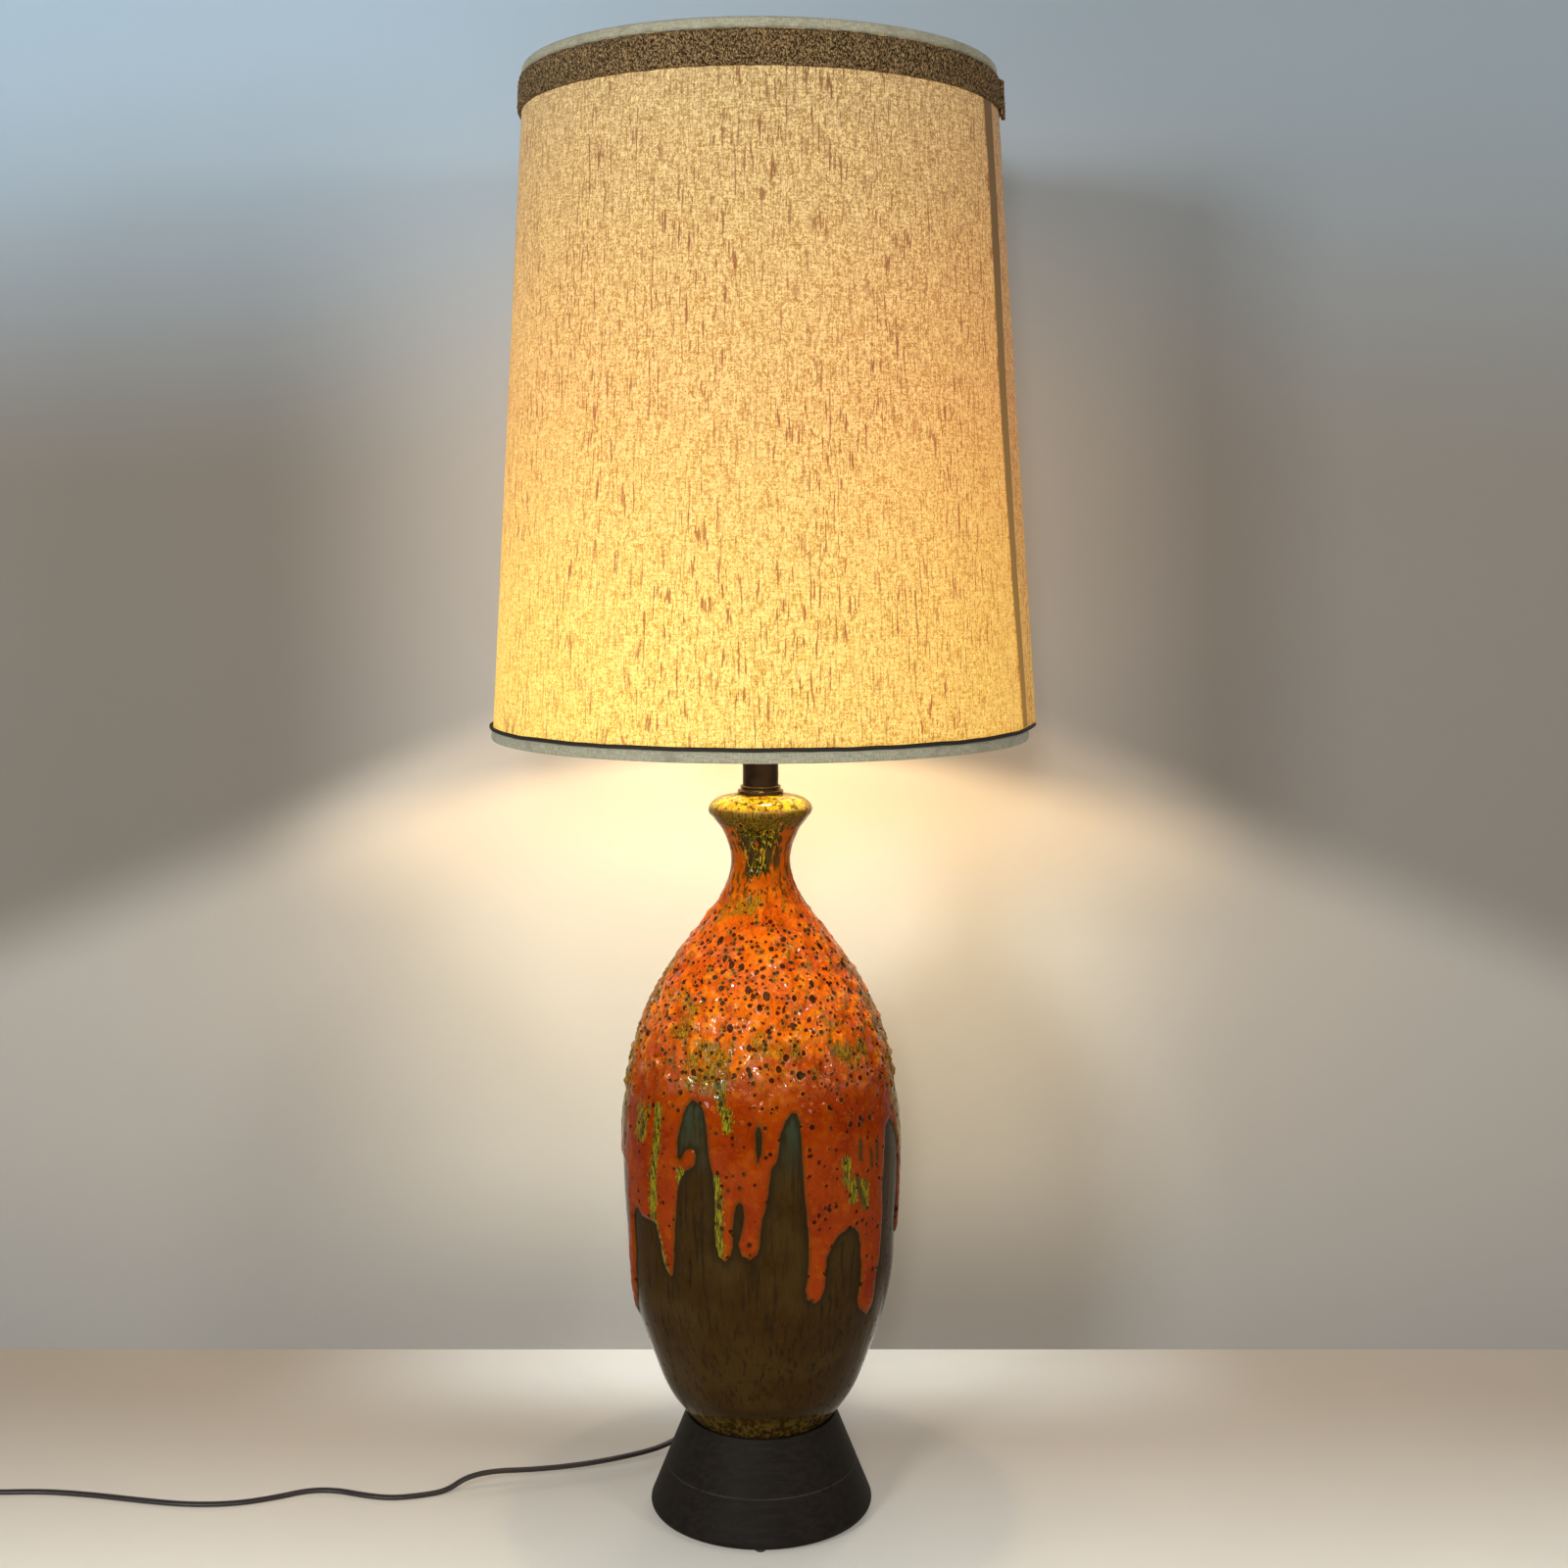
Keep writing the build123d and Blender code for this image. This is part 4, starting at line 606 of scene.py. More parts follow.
def rounded(corners, count=24):
    """The corners' line with each corner swept by a curve of one bend."""
    corners = np.array(corners)
    line = [corners[0]]
    for before, here, after in zip(corners, corners[1:], corners[2:]):
        reach = ROUNDING * min(np.linalg.norm(here - before), np.linalg.norm(after - here))
        start = here + (before - here) / np.linalg.norm(before - here) * reach
        end = here + (after - here) / np.linalg.norm(after - here) * reach
        for t in np.linspace(0, 1, count):
            line.append((1 - t) ** 2 * start + 2 * t * (1 - t) * here + t**2 * end)
    line.append(corners[-1])
    return np.array(line)


def respaced(line, spacing):
    """Points along the line whose spacing depends on their height."""
    runs = np.linalg.norm(np.diff(line, axis=0), axis=1)
    middles = (line[1:, 1] + line[:-1, 1]) / 2
    weight = np.concatenate([[0], np.cumsum(runs / spacing(middles))])
    marks = np.linspace(0, weight[-1], int(weight[-1]) + 2)
    return np.stack([np.interp(marks, weight, line[:, 0]), np.interp(marks, weight, line[:, 1])], axis=1)


def row_spacing(height):
    """Close rows where the drips end, wider ones where the glaze is even."""
    return np.where(height < 150, 3.4, np.where(height < 385, 1.62, np.where(height < 530, 2.9, 1.7)))


BOTTLE_STEPS = 350
outer = respaced(rounded(BOTTLE_CORNERS), row_spacing)
inner = [(5.6, 571.0), (5.6, 562.0), (14.9, 562.0), (14.9, 493.4), (78.5, 413), (103.2, 335)]
inner += [(103.6, 300), (102.6, 259.4), (95.9, 176.5), (69.0, 104.0), (50.6, 78.5), (5.6, 78.5), (5.6, 70.5)]
bottle = lathe("glazed_bottle", [tuple(p) for p in outer] + inner, BOTTLE_STEPS, closed=True)
print("bottle rows:", len(outer), "triangles:", 2 * len(bottle.data.polygons))

# %% [markdown]
# ## Where the glaze stops
# The orange glaze ran down in drips of very different lengths. Their lower edge is drawn once
# as a line of (angle, height) points round the bottle, angles counted from the front towards
# the right. The front half follows the real lamp. The back, which nobody sees in the picture,
# gets drips of the same kind.

# %% The glaze's lower edge on the front
FRONT_EDGE = """
-84.9,291 -71,290 -71.6,268 -70.7,247 -74.4,222 -73.2,200 -77,176 -79.9,161 -67.3,190
-65.7,212 -65.1,235 -64.7,250 -63.3,258 -59.9,261 -56.9,256 -51.2,256 -46.9,255 -45.1,244
-44.1,231 -42.3,222 -39.3,215 -38,222 -37.2,234 -36.1,257 -35.2,272 -34.6,284 -33.1,294
-30.3,302 -27.8,304 -26.1,308 -25.9,315 -26.7,319 -28.8,319 -30.8,317 -32.1,312 -33.9,308
-34.7,312 -34.8,326 -33.8,334 -33,343 -31.6,350 -29.5,354 -26.4,352 -23.9,348 -22.5,340
-21.6,332 -20.7,321 -20,312 -18.6,302 -17.9,291 -17.6,277 -18,262 -17.6,248 -16.6,239
-14,235 -11.7,240 -10.6,249 -10.5,261 -10.1,271 -9.3,279 -7.5,283 -6.3,280 -6.1,271
-6.5,264 -7.6,255 -8.5,249 -6.9,241 -3.6,238 -0.9,242 0.2,250 0.5,261 1.2,270 2.6,278
3.5,290 3.9,298 4.8,307 7,314 7.8,323 8.7,334 10.7,342 13.1,347 15.5,347 16.5,341
16.8,330 16.9,317 17.3,303 17.7,291 18.5,277 19.4,262 20.1,247 20.2,233 19.7,221 19,212
19.9,204 22.5,201 25.5,203 27.4,211 28.1,223 28.3,236 30.7,244 33.2,251 36.8,254 40.7,255
44,249 45.5,238 46.4,223 46.2,208 44.9,195 47.2,187 53.4,179 56,186 56.5,198 56.7,210
58.6,219 59.7,231 59.6,246 59.7,260 59.1,275 59.5,290 59.9,304 61,315 62.5,323 66.5,327
71.3,321
"""
SIDE_EDGE = """
75,310 78,290 80,262 81.5,238 84,226 86.5,232 87.5,250 88,274 90,300 93,318 97,322
100,306 101.5,280 103,262 105.5,256 107.5,268
"""


def edge_points(text):
    """Pairs of numbers as an array."""
    return np.array([[float(v) for v in pair.split(",")] for pair in text.split()])


front = edge_points(FRONT_EDGE)
side = edge_points(SIDE_EDGE)
back = front[::-1] * [-1, 1] + [180, 0]
sway = np.sin(np.radians(back[:, 0] * 5)) * 14
back = np.stack([back[:, 0], 305 + (back[:, 1] - 305) * 0.86 + sway], axis=1)
glaze_edge = np.concatenate([front, side, back[back[:, 0] < 264], [[268, 285], [275.1, 291]]])
bare_spots = [
    edge_points("0.1,341 1.1,331 0.9,321 0.1,314 -0.6,311 -1.1,321 -1.6,334"),
    edge_points("148,338 149.4,328 149.2,316 147.8,309 146.6,318 146.2,330"),
    edge_points("221,316 222.3,306 221.8,298 220.4,295 219.6,304"),
]
print("edge points:", len(glaze_edge), "bare spots inside the glaze:", len(bare_spots))

# %% [markdown]
# Each point of the bottle's skin then learns how far it is from that edge, in millimetres and
# positive under the orange glaze. Colour steps at zero stay crisp, because the number between
# two points is read exactly, and the same number raises the glaze above the bare coat.

# %% Distance to the glaze's edge
skin = points_of(bottle)
skin_radius = np.hypot(skin[:, 0], skin[:, 1])
skin_height = skin[:, 2]
skin_angle = (np.degrees(np.arctan2(skin[:, 0], -skin[:, 1])) + 84.9) % 360 - 84.9
outside = skin_radius > np.interp(skin_height, outer[:, 1], outer[:, 0]) - 1.0


def loop_distance(angle, height, radius, loop):
    """Signed distance in millimetres to a closed loop of (angle, height): positive inside."""
    inside = np.zeros(len(angle), bool)
    nearest = np.full(len(angle), 1e9)
    scale = np.radians(1) * radius
    for (a0, h0), (a1, h1) in zip(loop, np.roll(loop, -1, axis=0)):
        if h0 != h1:
            level = (h0 > height) != (h1 > height)
            inside ^= level & (angle < a0 + (height - h0) / (h1 - h0) * (a1 - a0))
        run = np.stack([(a1 - a0) * scale, np.full(len(angle), h1 - h0)])
        way = np.stack([(angle - a0) * scale, height - h0])
        share = np.clip((way * run).sum(0) / np.maximum((run * run).sum(0), 1e-9), 0, 1)
        nearest = np.minimum(nearest, np.hypot(*(way - share * run)))
    return np.where(inside, nearest, -nearest)


def glaze_distance(angle, height, radius):
    """Distance to the glaze's lower edge, less the bare spots in it."""
    around = np.concatenate([glaze_edge, [[275.1, 700], [-84.9, 700]]])
    distance = loop_distance(angle, height, radius, around)
    for spot in bare_spots:
        distance = np.minimum(distance, -loop_distance(angle, height, radius, spot))
    return distance


banded = outside & (skin_height > 145) & (skin_height < 380)
edge_mm = np.where(skin_height > 260, 25.0, -25.0)
found = glaze_distance(skin_angle[banded], skin_height[banded], skin_radius[banded])
edge_mm[banded] = np.clip(found, -25, 25)
edge_mm += np.where(banded, 0.45 * smooth_noise(skin, 5.0, 3.1), 0)
print("points under the glaze:", int((edge_mm > 0).sum()), "of", len(skin))

# %% [markdown]
# ## Thickness of the glaze
# The glaze stands proud of the bare coat and is thickest at the drips' lower ends. Above the
# drips it slid and piled up in a lumpy ledge, and higher still it boiled into a field of small
# craters. These forms are real relief, so the outline of the bottle shows them too.

# %% Thick ledge, lumps and craters
LEDGE_LINE = """
-88,341 -48.6,353 -34.3,361 -18.2,364 -6.7,364 3.7,364 13.2,360 21.4,359 30.7,363 45.8,359
73.8,348
"""
LEDGE = edge_points(LEDGE_LINE)
ledge_angle = np.concatenate([LEDGE[:, 0], [100, 140, 180, 220, 250, 272]])
ledge_height = np.concatenate([LEDGE[:, 1], [352, 362, 356, 366, 350, 341]])
ledge_here = np.interp(skin_angle, ledge_angle, ledge_height) + 5 * smooth_noise(skin, 11.0, 1.7)
CRATERS = """
-10.6,375 8.4,379 17.8,374 -4.7,379 -29.6,374 -36.4,464 -12.3,448 -6.7,433 4,429 0.1,421
-14.6,407 4.8,405 32.7,435 30.5,425 19.5,427 -55.7,410 -65.5,375 -4.7,394 12.1,387
20.6,389 54.6,458 69.6,442 -26.3,453 -19.8,449
"""
craters = edge_points(CRATERS)
craters = np.concatenate([craters, [180, 0] + craters * [-1, 1]])
craters[:, 0] = (craters[:, 0] + 84.9) % 360 - 84.9


def smooth_share(value, low, high):
    """From 0 to 1 as the value goes from low to high."""
    t = np.clip((value - low) / (high - low), 0, 1)
    return t * t * (3 - 2 * t)


crater_mm = np.full(len(skin), 20.0)
for n, (angle, height) in enumerate(craters):
    size = 1.7 + 1.1 * (n * 0.37 % 1)
    away = np.hypot(np.radians(skin_angle - angle) * skin_radius, (skin_height - height) * 0.85)
    crater_mm = np.minimum(crater_mm, away - size)

boil = smooth_share(skin_height, 340, 366) * (1 - 0.75 * smooth_share(skin_height, 440, 500))
lumps = smooth_noise(skin, 8.0, 5.5) + 0.6 * smooth_noise(skin, 4.0, 9.2)
swell = smooth_noise(skin, 22.0, 2.4)
full = 1 - np.exp(-np.clip(edge_mm, 0, 25) / 1.1)
tips = 1 - smooth_share(skin_height, 215, 300)
thick = full * (1.5 + 0.9 * tips + 0.45 * lumps + 0.5 * swell)
piled = smooth_share(skin_height - ledge_here, -5, 6)
fades = 1 - smooth_share(skin_height, 372, 430)
thick += piled * (0.5 + 1.7 * fades) * (1 + 0.6 * lumps)
thick += boil * (1.5 * lumps + 0.8 * smooth_noise(skin, 16.0, 7.7))
thick -= 1.6 * (1 - smooth_share(crater_mm, -1.2, 0.9))
runs = 0.16 * smooth_noise(skin * [1, 1, 0.09], 5.0, 4.2) * (skin_height < 340)
neck = smooth_share(skin_height, 490, 520)
settle = -1.7 * smooth_share(skin_height, 190, 240) * (1 - 0.75 * neck)
rise = np.where(outside & (skin_height < 566) & (skin_height > 80), settle + (1 - 0.7 * neck) * thick + runs, 0)
grow = rise / np.maximum(skin_radius, 1)
skin[:, 0] *= 1 + grow
skin[:, 1] *= 1 + grow
set_points(bottle, skin)
keep_number(bottle, "edge", edge_mm)
keep_number(bottle, "crater", crater_mm)
keep_number(bottle, "piled", piled)
keep_number(bottle, "lumps", lumps)
print("relief from", round(float(rise.min()), 2), "to", round(float(rise.max()), 2), "mm")

# %% [markdown]
# A thinner yellow-green glaze shows beside some drips and in a few patches. Those streaks are
# drawn as short lines with a width, and each point of the skin keeps how deep in a streak it is.
# Where the glaze ran thin on the neck and at the flanks, the olive below shows through it in
# wide fields, which are kept in the same way.

# %% Yellow-green and dark streaks


def streak_share(lines, width):
    """1 on the streak lines, falling to 0 at their sides."""
    share = np.zeros(len(skin))
    for line in lines:
        marks = edge_points(line)
        for (a0, h0), (a1, h1) in zip(marks, marks[1:]):
            level = (skin_height - h0) / (h1 - h0)
            along = np.clip(level, 0, 1)
            side_mm = np.radians(skin_angle - a0 - along * (a1 - a0)) * skin_radius
            over_mm = (level - along) * abs(h1 - h0)
            share = np.maximum(share, 1 - np.hypot(side_mm, over_mm) / width)
    return np.clip(share, 0, 1)


def field_share(fields):
    """Wide soft fields: each is an angle, a half width in degrees, a lowest and a highest height."""
    share = np.zeros(len(skin))
    for angle, half, low, high in fields:
        away = np.abs((skin_angle - angle + 180) % 360 - 180)
        tall = smooth_share(skin_height, low - 12, low + 12) * (1 - smooth_share(skin_height, high - 12, high + 12))
        share = np.maximum(share, (1 - smooth_share(away, half * 0.6, half * 1.4)) * tall)
    return share


GREEN = [
    "-46.5,344 -45.6,318 -46.9,296 -47.6,274 -47.4,259 -44.7,239 -41.8,220",
    "-17.1,298 -16.4,284 -16.4,270 -16.6,255 -16,242",
    "-17.6,368 -15.4,350",
    "-13.3,347 -12.9,337",
    "-32.4,300 -31.6,286",
    "36,308 36.5,292",
    "39.5,290 40,277",
    "45.5,288 46.5,270",
    "133,350 135,322 133,300",
    "166,345 165,318 167,292 166,268",
    "203,352 204,330",
    "236,340 238,312 236,290 239,262",
    "97,350 98,330",
]
DARK = [
    "43.9,320 43.6,306",
    "49.7,311 50.3,298",
    "54.2,316 54.1,302",
    "41.3,296 43.5,282 45.5,271",
    "-73,330 -74,300",
    "-55,330 -55.6,318",
    "128,330 129,312",
    "190,325 191,308",
    "251,322 250,306",
]
NECK_FIELDS = [(-3, 38, 524, 560), (-6, 22, 508, 530), (118, 44, 500, 558), (-120, 46, 505, 558)]
FLANK_FIELDS = [(-84, 13, 300, 452), (82, 12, 300, 455), (-24, 13, 356, 400), (-40, 8, 392, 430), (8, 14, 384, 404)]
FLANK_FIELDS += [(46, 13, 372, 398), (-57, 6, 312, 350), (150, 16, 340, 420), (208, 18, 330, 410)]
FLANK_FIELDS += [(-30, 34, 476, 500), (34, 16, 484, 500), (120, 40, 474, 500), (215, 30, 478, 502)]
green = streak_share(GREEN, 7.0)
keep_number(bottle, "green", green)
keep_number(bottle, "dark", streak_share(DARK, 3.6))
keep_number(bottle, "neck_olive", field_share(NECK_FIELDS))
keep_number(bottle, "flank_olive", field_share(FLANK_FIELDS))
print("points in green streaks:", int((green > 0).sum()))

# %% [markdown]
# ## The glaze's colours
# From the bottom up: a glossy olive-brown coat with faint runs, dark green in the notches
# between the drips; then the orange, darker on the drips and lighter on the boiled glaze above,
# partly its own colour and partly painted light from the bulb above, with painted highlights on
# the lumps and painted shade in the hollows, and a soft dark line painted round each drip as the
# shadow of its edge on the brown; a yellow and olive mottle above the thick ledge; pits and
# craters with painted shade in them and painted highlights on their rims; and on the neck olive
# curls that give way to bright yellow-orange on the lip.

# %% The brown coat
glaze, tree, shader = new_finish("drip_glaze", (0.5, 0.06, 0.004), 0.12, 0, 0.2)
here = placed(tree)
up = height_of(tree)
edge = stored(tree, "edge")
streaky = clouds(tree, placed(tree, (300, 300, 26)), 1.0, 5, 0.6)
fine_streak = clouds(tree, placed(tree, (900, 900, 110)), 1.0, 4, 0.6)
broad = clouds(tree, here, 28, 4)
speck = clouds(tree, here, 420, 4, 0.6)
patch = clouds(tree, placed(tree, (150, 150, 62)), 1.0, 5, 0.65)

coat = mixed(tree, step(tree, broad, 0.42, 0.62), (0.034, 0.014, 0.0006), (0.044, 0.0225, 0.003))
coat = mixed(tree, step(tree, streaky, 0.50, 0.64, 0, 0.75), coat, (0.015, 0.0065, 0.0008))
coat = mixed(tree, step(tree, fine_streak, 0.54, 0.66, 0, 0.35), coat, (0.060, 0.040, 0.012))
notch = times(tree, step(tree, up, 0.29, 0.345), step(tree, streaky, 0.36, 0.56, 0.35, 1.0))
coat = mixed(tree, notch, coat, (0.034, 0.043, 0.022))
foot_band = times(tree, step(tree, up, 0.106, 0.092), step(tree, streaky, 0.42, 0.6))
coat = mixed(tree, step(tree, up, 0.116, 0.100, 0, 0.6), coat, (0.018, 0.010, 0.003))
coat = mixed(tree, foot_band, coat, (0.085, 0.052, 0.010))
# Painted shadow: a soft dark line on the coat round each drip's edge, below the boiled zone.
painted_drip_shadow_width = step(tree, streaky, 0.35, 0.65, -10.0, -3.5)
painted_drip_shadow = times(tree, step(tree, edge, painted_drip_shadow_width, 0.0, 0, 0.75), step(tree, up, 0.42, 0.40))
coat = mixed(tree, painted_drip_shadow, coat, (0.015, 0.009, 0.002))
print("brown coat mixed")

# %% The orange and what shows through it
# The orange lightens upwards: partly the glaze's own change from thick drips to boiled glaze, partly painted light
# from the bulb above.
climb = step(tree, up, 0.330, 0.420)
shaded_thick_tone = mixed(tree, step(tree, broad, 0.36, 0.62), (0.185, 0.015, 0.0001), (0.265, 0.034, 0.0002))
lit_boiled_tone = mixed(tree, step(tree, broad, 0.36, 0.62), (0.55, 0.072, 0.0008), (0.76, 0.150, 0.002))
orange = mixed(tree, climb, shaded_thick_tone, lit_boiled_tone)
bright_grain = mixed(tree, climb, (0.36, 0.050, 0.001), (0.82, 0.20, 0.007))
orange = mixed(tree, step(tree, speck, 0.48, 0.66, 0, 0.35), orange, bright_grain)
orange = mixed(tree, step(tree, streaky, 0.50, 0.62, 0, 0.4), orange, (0.25, 0.022, 0.0006))
orange = mixed(tree, step(tree, edge, 3.4, 0.0, 0, 0.8), orange, (0.105, 0.030, 0.0012))
# Painted light: lumps that stand proud are painted lighter as highlights, and hollows darker as shade.
painted_lump_highlight = times(tree, step(tree, stored(tree, "lumps"), 0.1, 0.7), step(tree, up, 0.35, 0.39, 0.1, 1))
orange = mixed(tree, times(tree, painted_lump_highlight, 0.55), orange, (0.92, 0.30, 0.010))
painted_hollow_shade = step(tree, stored(tree, "lumps"), -0.1, -0.7, 0, 0.6)
orange = mixed(tree, painted_hollow_shade, orange, (0.27, 0.028, 0.0008))
orange = mixed(tree, step(tree, up, 0.475, 0.515, 0, 0.85), orange, (0.23, 0.046, 0.0008))


def speckled(share, texture, low, high, reach=0.55):
    """Breaks a field's soft edge up with a texture, so the field ends in flecks."""
    rough = plus(tree, share, times(tree, less(tree, texture, 0.5), reach * 4))
    return step(tree, rough, low, high)


olive_tones = mixed(tree, step(tree, fine_streak, 0.44, 0.56), (0.048, 0.038, 0.004), (0.29, 0.21, 0.006))
flanks = times(tree, stored(tree, "flank_olive"), 0.9)
mottle = speckled(flanks, patch, 0.52, 0.95)
stray = times(tree, step(tree, patch, 0.56, 0.62), step(tree, up, 0.35, 0.385))
stray = times(tree, stray, step(tree, up, 0.49, 0.455, 0.4, 1))
mottle = larger(tree, times(tree, mottle, 0.8), times(tree, stray, 0.75))
orange = mixed(tree, mottle, orange, olive_tones)

curl_place = clouds(tree, placed(tree, (170, 170, 42)), 1.0, 1.5, 0.5, 1.6)
curl_line = step(tree, unsigned(tree, less(tree, curl_place, 0.5)), 0.025, 0.012)
neck_dark = mixed(tree, step(tree, fine_streak, 0.44, 0.58), (0.008, 0.006, 0.0012), (0.036, 0.022, 0.002))
neck_tones = mixed(tree, curl_line, neck_dark, (0.33, 0.28, 0.008))
neck_share = speckled(stored(tree, "neck_olive"), streaky, 0.40, 0.70, 0.9)
neck_share = times(tree, neck_share, step(tree, stored(tree, "neck_olive"), 0.02, 0.15))
orange = mixed(tree, neck_share, orange, neck_tones)
neck_runs = times(tree, step(tree, up, 0.484, 0.500), step(tree, streaky, 0.51, 0.56))
orange = mixed(tree, times(tree, neck_runs, 0.85), orange, (0.045, 0.026, 0.004))
print("orange mixed")

# %% Lip, streaks, pits and craters
lip_zone = step(tree, up, 0.5575, 0.5625)
lip_gold = mixed(tree, step(tree, patch, 0.46, 0.58), (0.47, 0.43, 0.018), (0.38, 0.20, 0.006))
lip_gold = mixed(tree, step(tree, fine_streak, 0.53, 0.60, 0, 0.75), lip_gold, (0.16, 0.075, 0.004))
lip_fleck = step(tree, clouds(tree, here, 260, 2, 0.5), 0.54, 0.60, 0, 0.95)
lip_gold = mixed(tree, lip_fleck, lip_gold, (0.040, 0.032, 0.004))
orange = mixed(tree, times(tree, lip_zone, 0.9), orange, lip_gold)
lip_under = times(tree, step(tree, up, 0.5455, 0.5505), step(tree, up, 0.5645, 0.5595))
under_tones = mixed(tree, step(tree, fine_streak, 0.44, 0.56), (0.035, 0.024, 0.004), (0.15, 0.095, 0.008))
orange = mixed(tree, times(tree, lip_under, 0.85), orange, under_tones)

green_share = speckled(stored(tree, "green"), speck, 0.30, 0.55, 0.45)
green_tones = mixed(tree, step(tree, fine_streak, 0.45, 0.56), (0.045, 0.042, 0.006), (0.25, 0.225, 0.008))
orange = mixed(tree, times(tree, green_share, 0.92), orange, green_tones)
dark_share = speckled(stored(tree, "dark"), speck, 0.32, 0.55, 0.4)
orange = mixed(tree, times(tree, dark_share, 0.85), orange, (0.038, 0.036, 0.008))


def pits(scale, size, crowd):
    """Small round holes that sit at random: their share, and the share of the ring round each, which is painted pale
    later as a highlight.
    """
    near = cells(tree, here, scale)
    kind = tree.nodes.new("ShaderNodeSeparateColor")
    tree.links.new(cells(tree, here, scale, output="Color"), kind.inputs["Color"])
    chosen = maths(tree, "LESS_THAN", kind.outputs["Red"], crowd)
    own_size = times(tree, plus(tree, kind.outputs["Green"], 0.5), size)
    beyond = less(tree, near, own_size)
    hole = times(tree, step(tree, beyond, 0.03, -0.05), chosen)
    ring = times(tree, step(tree, beyond, 0.16, 0.04), chosen)
    return hole, less(tree, ring, hole)


high_up = step(tree, up, 0.500, 0.465, 0.03, 1)
fine_pit, fine_ring = pits(250, 0.29, times(tree, step(tree, up, 0.33, 0.43, 0.22, 0.80), high_up))
wide_pit, wide_ring = pits(135, 0.22, times(tree, step(tree, up, 0.30, 0.40, 0.14, 0.55), high_up))
big_pit = step(tree, stored(tree, "crater"), 0.35, -0.35)
big_ring = less(tree, step(tree, stored(tree, "crater"), 1.6, 0.5), big_pit)
hole = larger(tree, larger(tree, fine_pit, wide_pit), big_pit)
ring = larger(tree, larger(tree, fine_ring, wide_ring), big_ring)
# Painted highlight: a pale ring on each pit's rim; painted shade: a dark floor in each pit.
painted_rim_highlight = times(tree, ring, step(tree, up, 0.32, 0.37, 0.1, 0.45))
orange = mixed(tree, painted_rim_highlight, orange, (0.80, 0.20, 0.012))
pit_floor_shade = mixed(tree, step(tree, patch, 0.48, 0.6), (0.030, 0.006, 0.0015), (0.030, 0.032, 0.016))
orange = mixed(tree, times(tree, hole, 0.94), orange, pit_floor_shade)

glazed = step(tree, edge, -0.25, 0.3)
tree.links.new(mixed(tree, glazed, coat, orange), shader.inputs["Base Color"])
gloss = step(tree, speck, 0.35, 0.65, 0.06, 0.12)
gloss = plus(tree, gloss, times(tree, hole, 0.3))
tree.links.new(gloss, shader.inputs["Roughness"])
wet = times(tree, step(tree, up, 0.350, 0.368), step(tree, up, 0.490, 0.460))
wet = times(tree, wet, step(tree, clouds(tree, here, 70, 2), 0.46, 0.60, 0.2, 1.0))
wet = larger(tree, wet, lip_zone)
sheen = times(tree, step(tree, wet, 0, 1, 0.06, 0.55), step(tree, hole, 0, 1, 1.0, 0.25))
tree.links.new(sheen, shader.inputs["Specular IOR Level"])
print("glaze colours mixed")

# %% [markdown]
# The relief that is too fine for the mesh is left to bumps: craters, the skin of the boiled
# glaze and the faint runs of the brown coat.

# %% Fine relief of the glaze
boiled = times(tree, step(tree, up, 0.335, 0.385), step(tree, up, 0.53, 0.485, 0.35, 1))
small_bubbles = times(tree, clouds(tree, here, 210, 1, 0.3), 0.3)
bubbles = plus(tree, clouds(tree, here, 90, 1, 0.3), small_bubbles)
first = relief(tree, shader, times(tree, bubbles, boiled), 0.0040, 1.0)
rims = less(tree, times(tree, ring, 0.5), hole)
second = relief(tree, shader, times(tree, rims, glazed), 0.0018, 0.9, first)
relief(tree, shader, plus(tree, streaky, speck), 0.00012, 0.3, second)
bottle.data.materials.append(glaze)
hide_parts("ceramic_body")
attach(bottle, "stand")
print("bottle finished")

# %% [markdown]
# ## The cord's finish
# The swept flex takes the place of the three CAD stretches of cord. Its skin is dark brown
# plastic with a soft shine, the same as the stretch inside the base and the plug.

# %% Finish the cord
flex.data.materials.clear()
flex.data.materials.append(flex_skin)
clear_selection()
flex.select_set(True)
bpy.context.view_layer.objects.active = flex
bpy.ops.object.shade_smooth_by_angle(angle=math.radians(50))
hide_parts("cord_free", "cord_coil", "cord_tail")
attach(flex, "stand")

# %% [markdown]
# ## The shade's cloth
# The shade is one piece of slubbed cloth, bonded to a stiff liner and stretched over two wire
# rings. It is a plain cone with no folds, so it is lathed as a thin skin with an inside and an
# outside. Its slubs are short thick places in the upright yarns, a little browner than the
# rest, so they follow a wrapped map that runs round the cone in metres.

# %% Lathe the cloth
BOTTOM_Z, TOP_Z = 616.6, 1103.6
BOTTOM_R, TOP_R = 202.8, 172.6
SEAM_ANGLE = 74.5
CLOTH_THICKNESS = 0.55
CLOTH_ROWS, CLOTH_STEPS = 33, 180
CLOTH_MAP_RADIUS = 188.0


def cone_radius(height):
    """Radius of the cloth's outer face at a height."""
    return BOTTOM_R + (TOP_R - BOTTOM_R) * (height - BOTTOM_Z) / (TOP_Z - BOTTOM_Z)


rows = np.linspace(BOTTOM_Z, TOP_Z, CLOTH_ROWS)
cloth_out = [(cone_radius(h), h) for h in rows]
cloth_in = [(r - CLOTH_THICKNESS, h) for r, h in cloth_out[::-1]]
cloth = lathe("shade_cloth", cloth_out + cloth_in, CLOTH_STEPS, closed=True)
weave_points = points_of(cloth)
wave = 0.35 * smooth_noise(weave_points * [1, 1, 0.25], 60.0, 6.1)
inset = np.minimum(weave_points[:, 2] - BOTTOM_Z, TOP_Z - weave_points[:, 2])
wave *= smooth_share(inset, 5, 60)
weave_points[:, :2] *= (1 + wave / 190)[:, None]
set_points(cloth, weave_points)
wrap_map(cloth, CLOTH_MAP_RADIUS, SEAM_ANGLE)
print("cloth faces:", len(cloth.data.polygons))
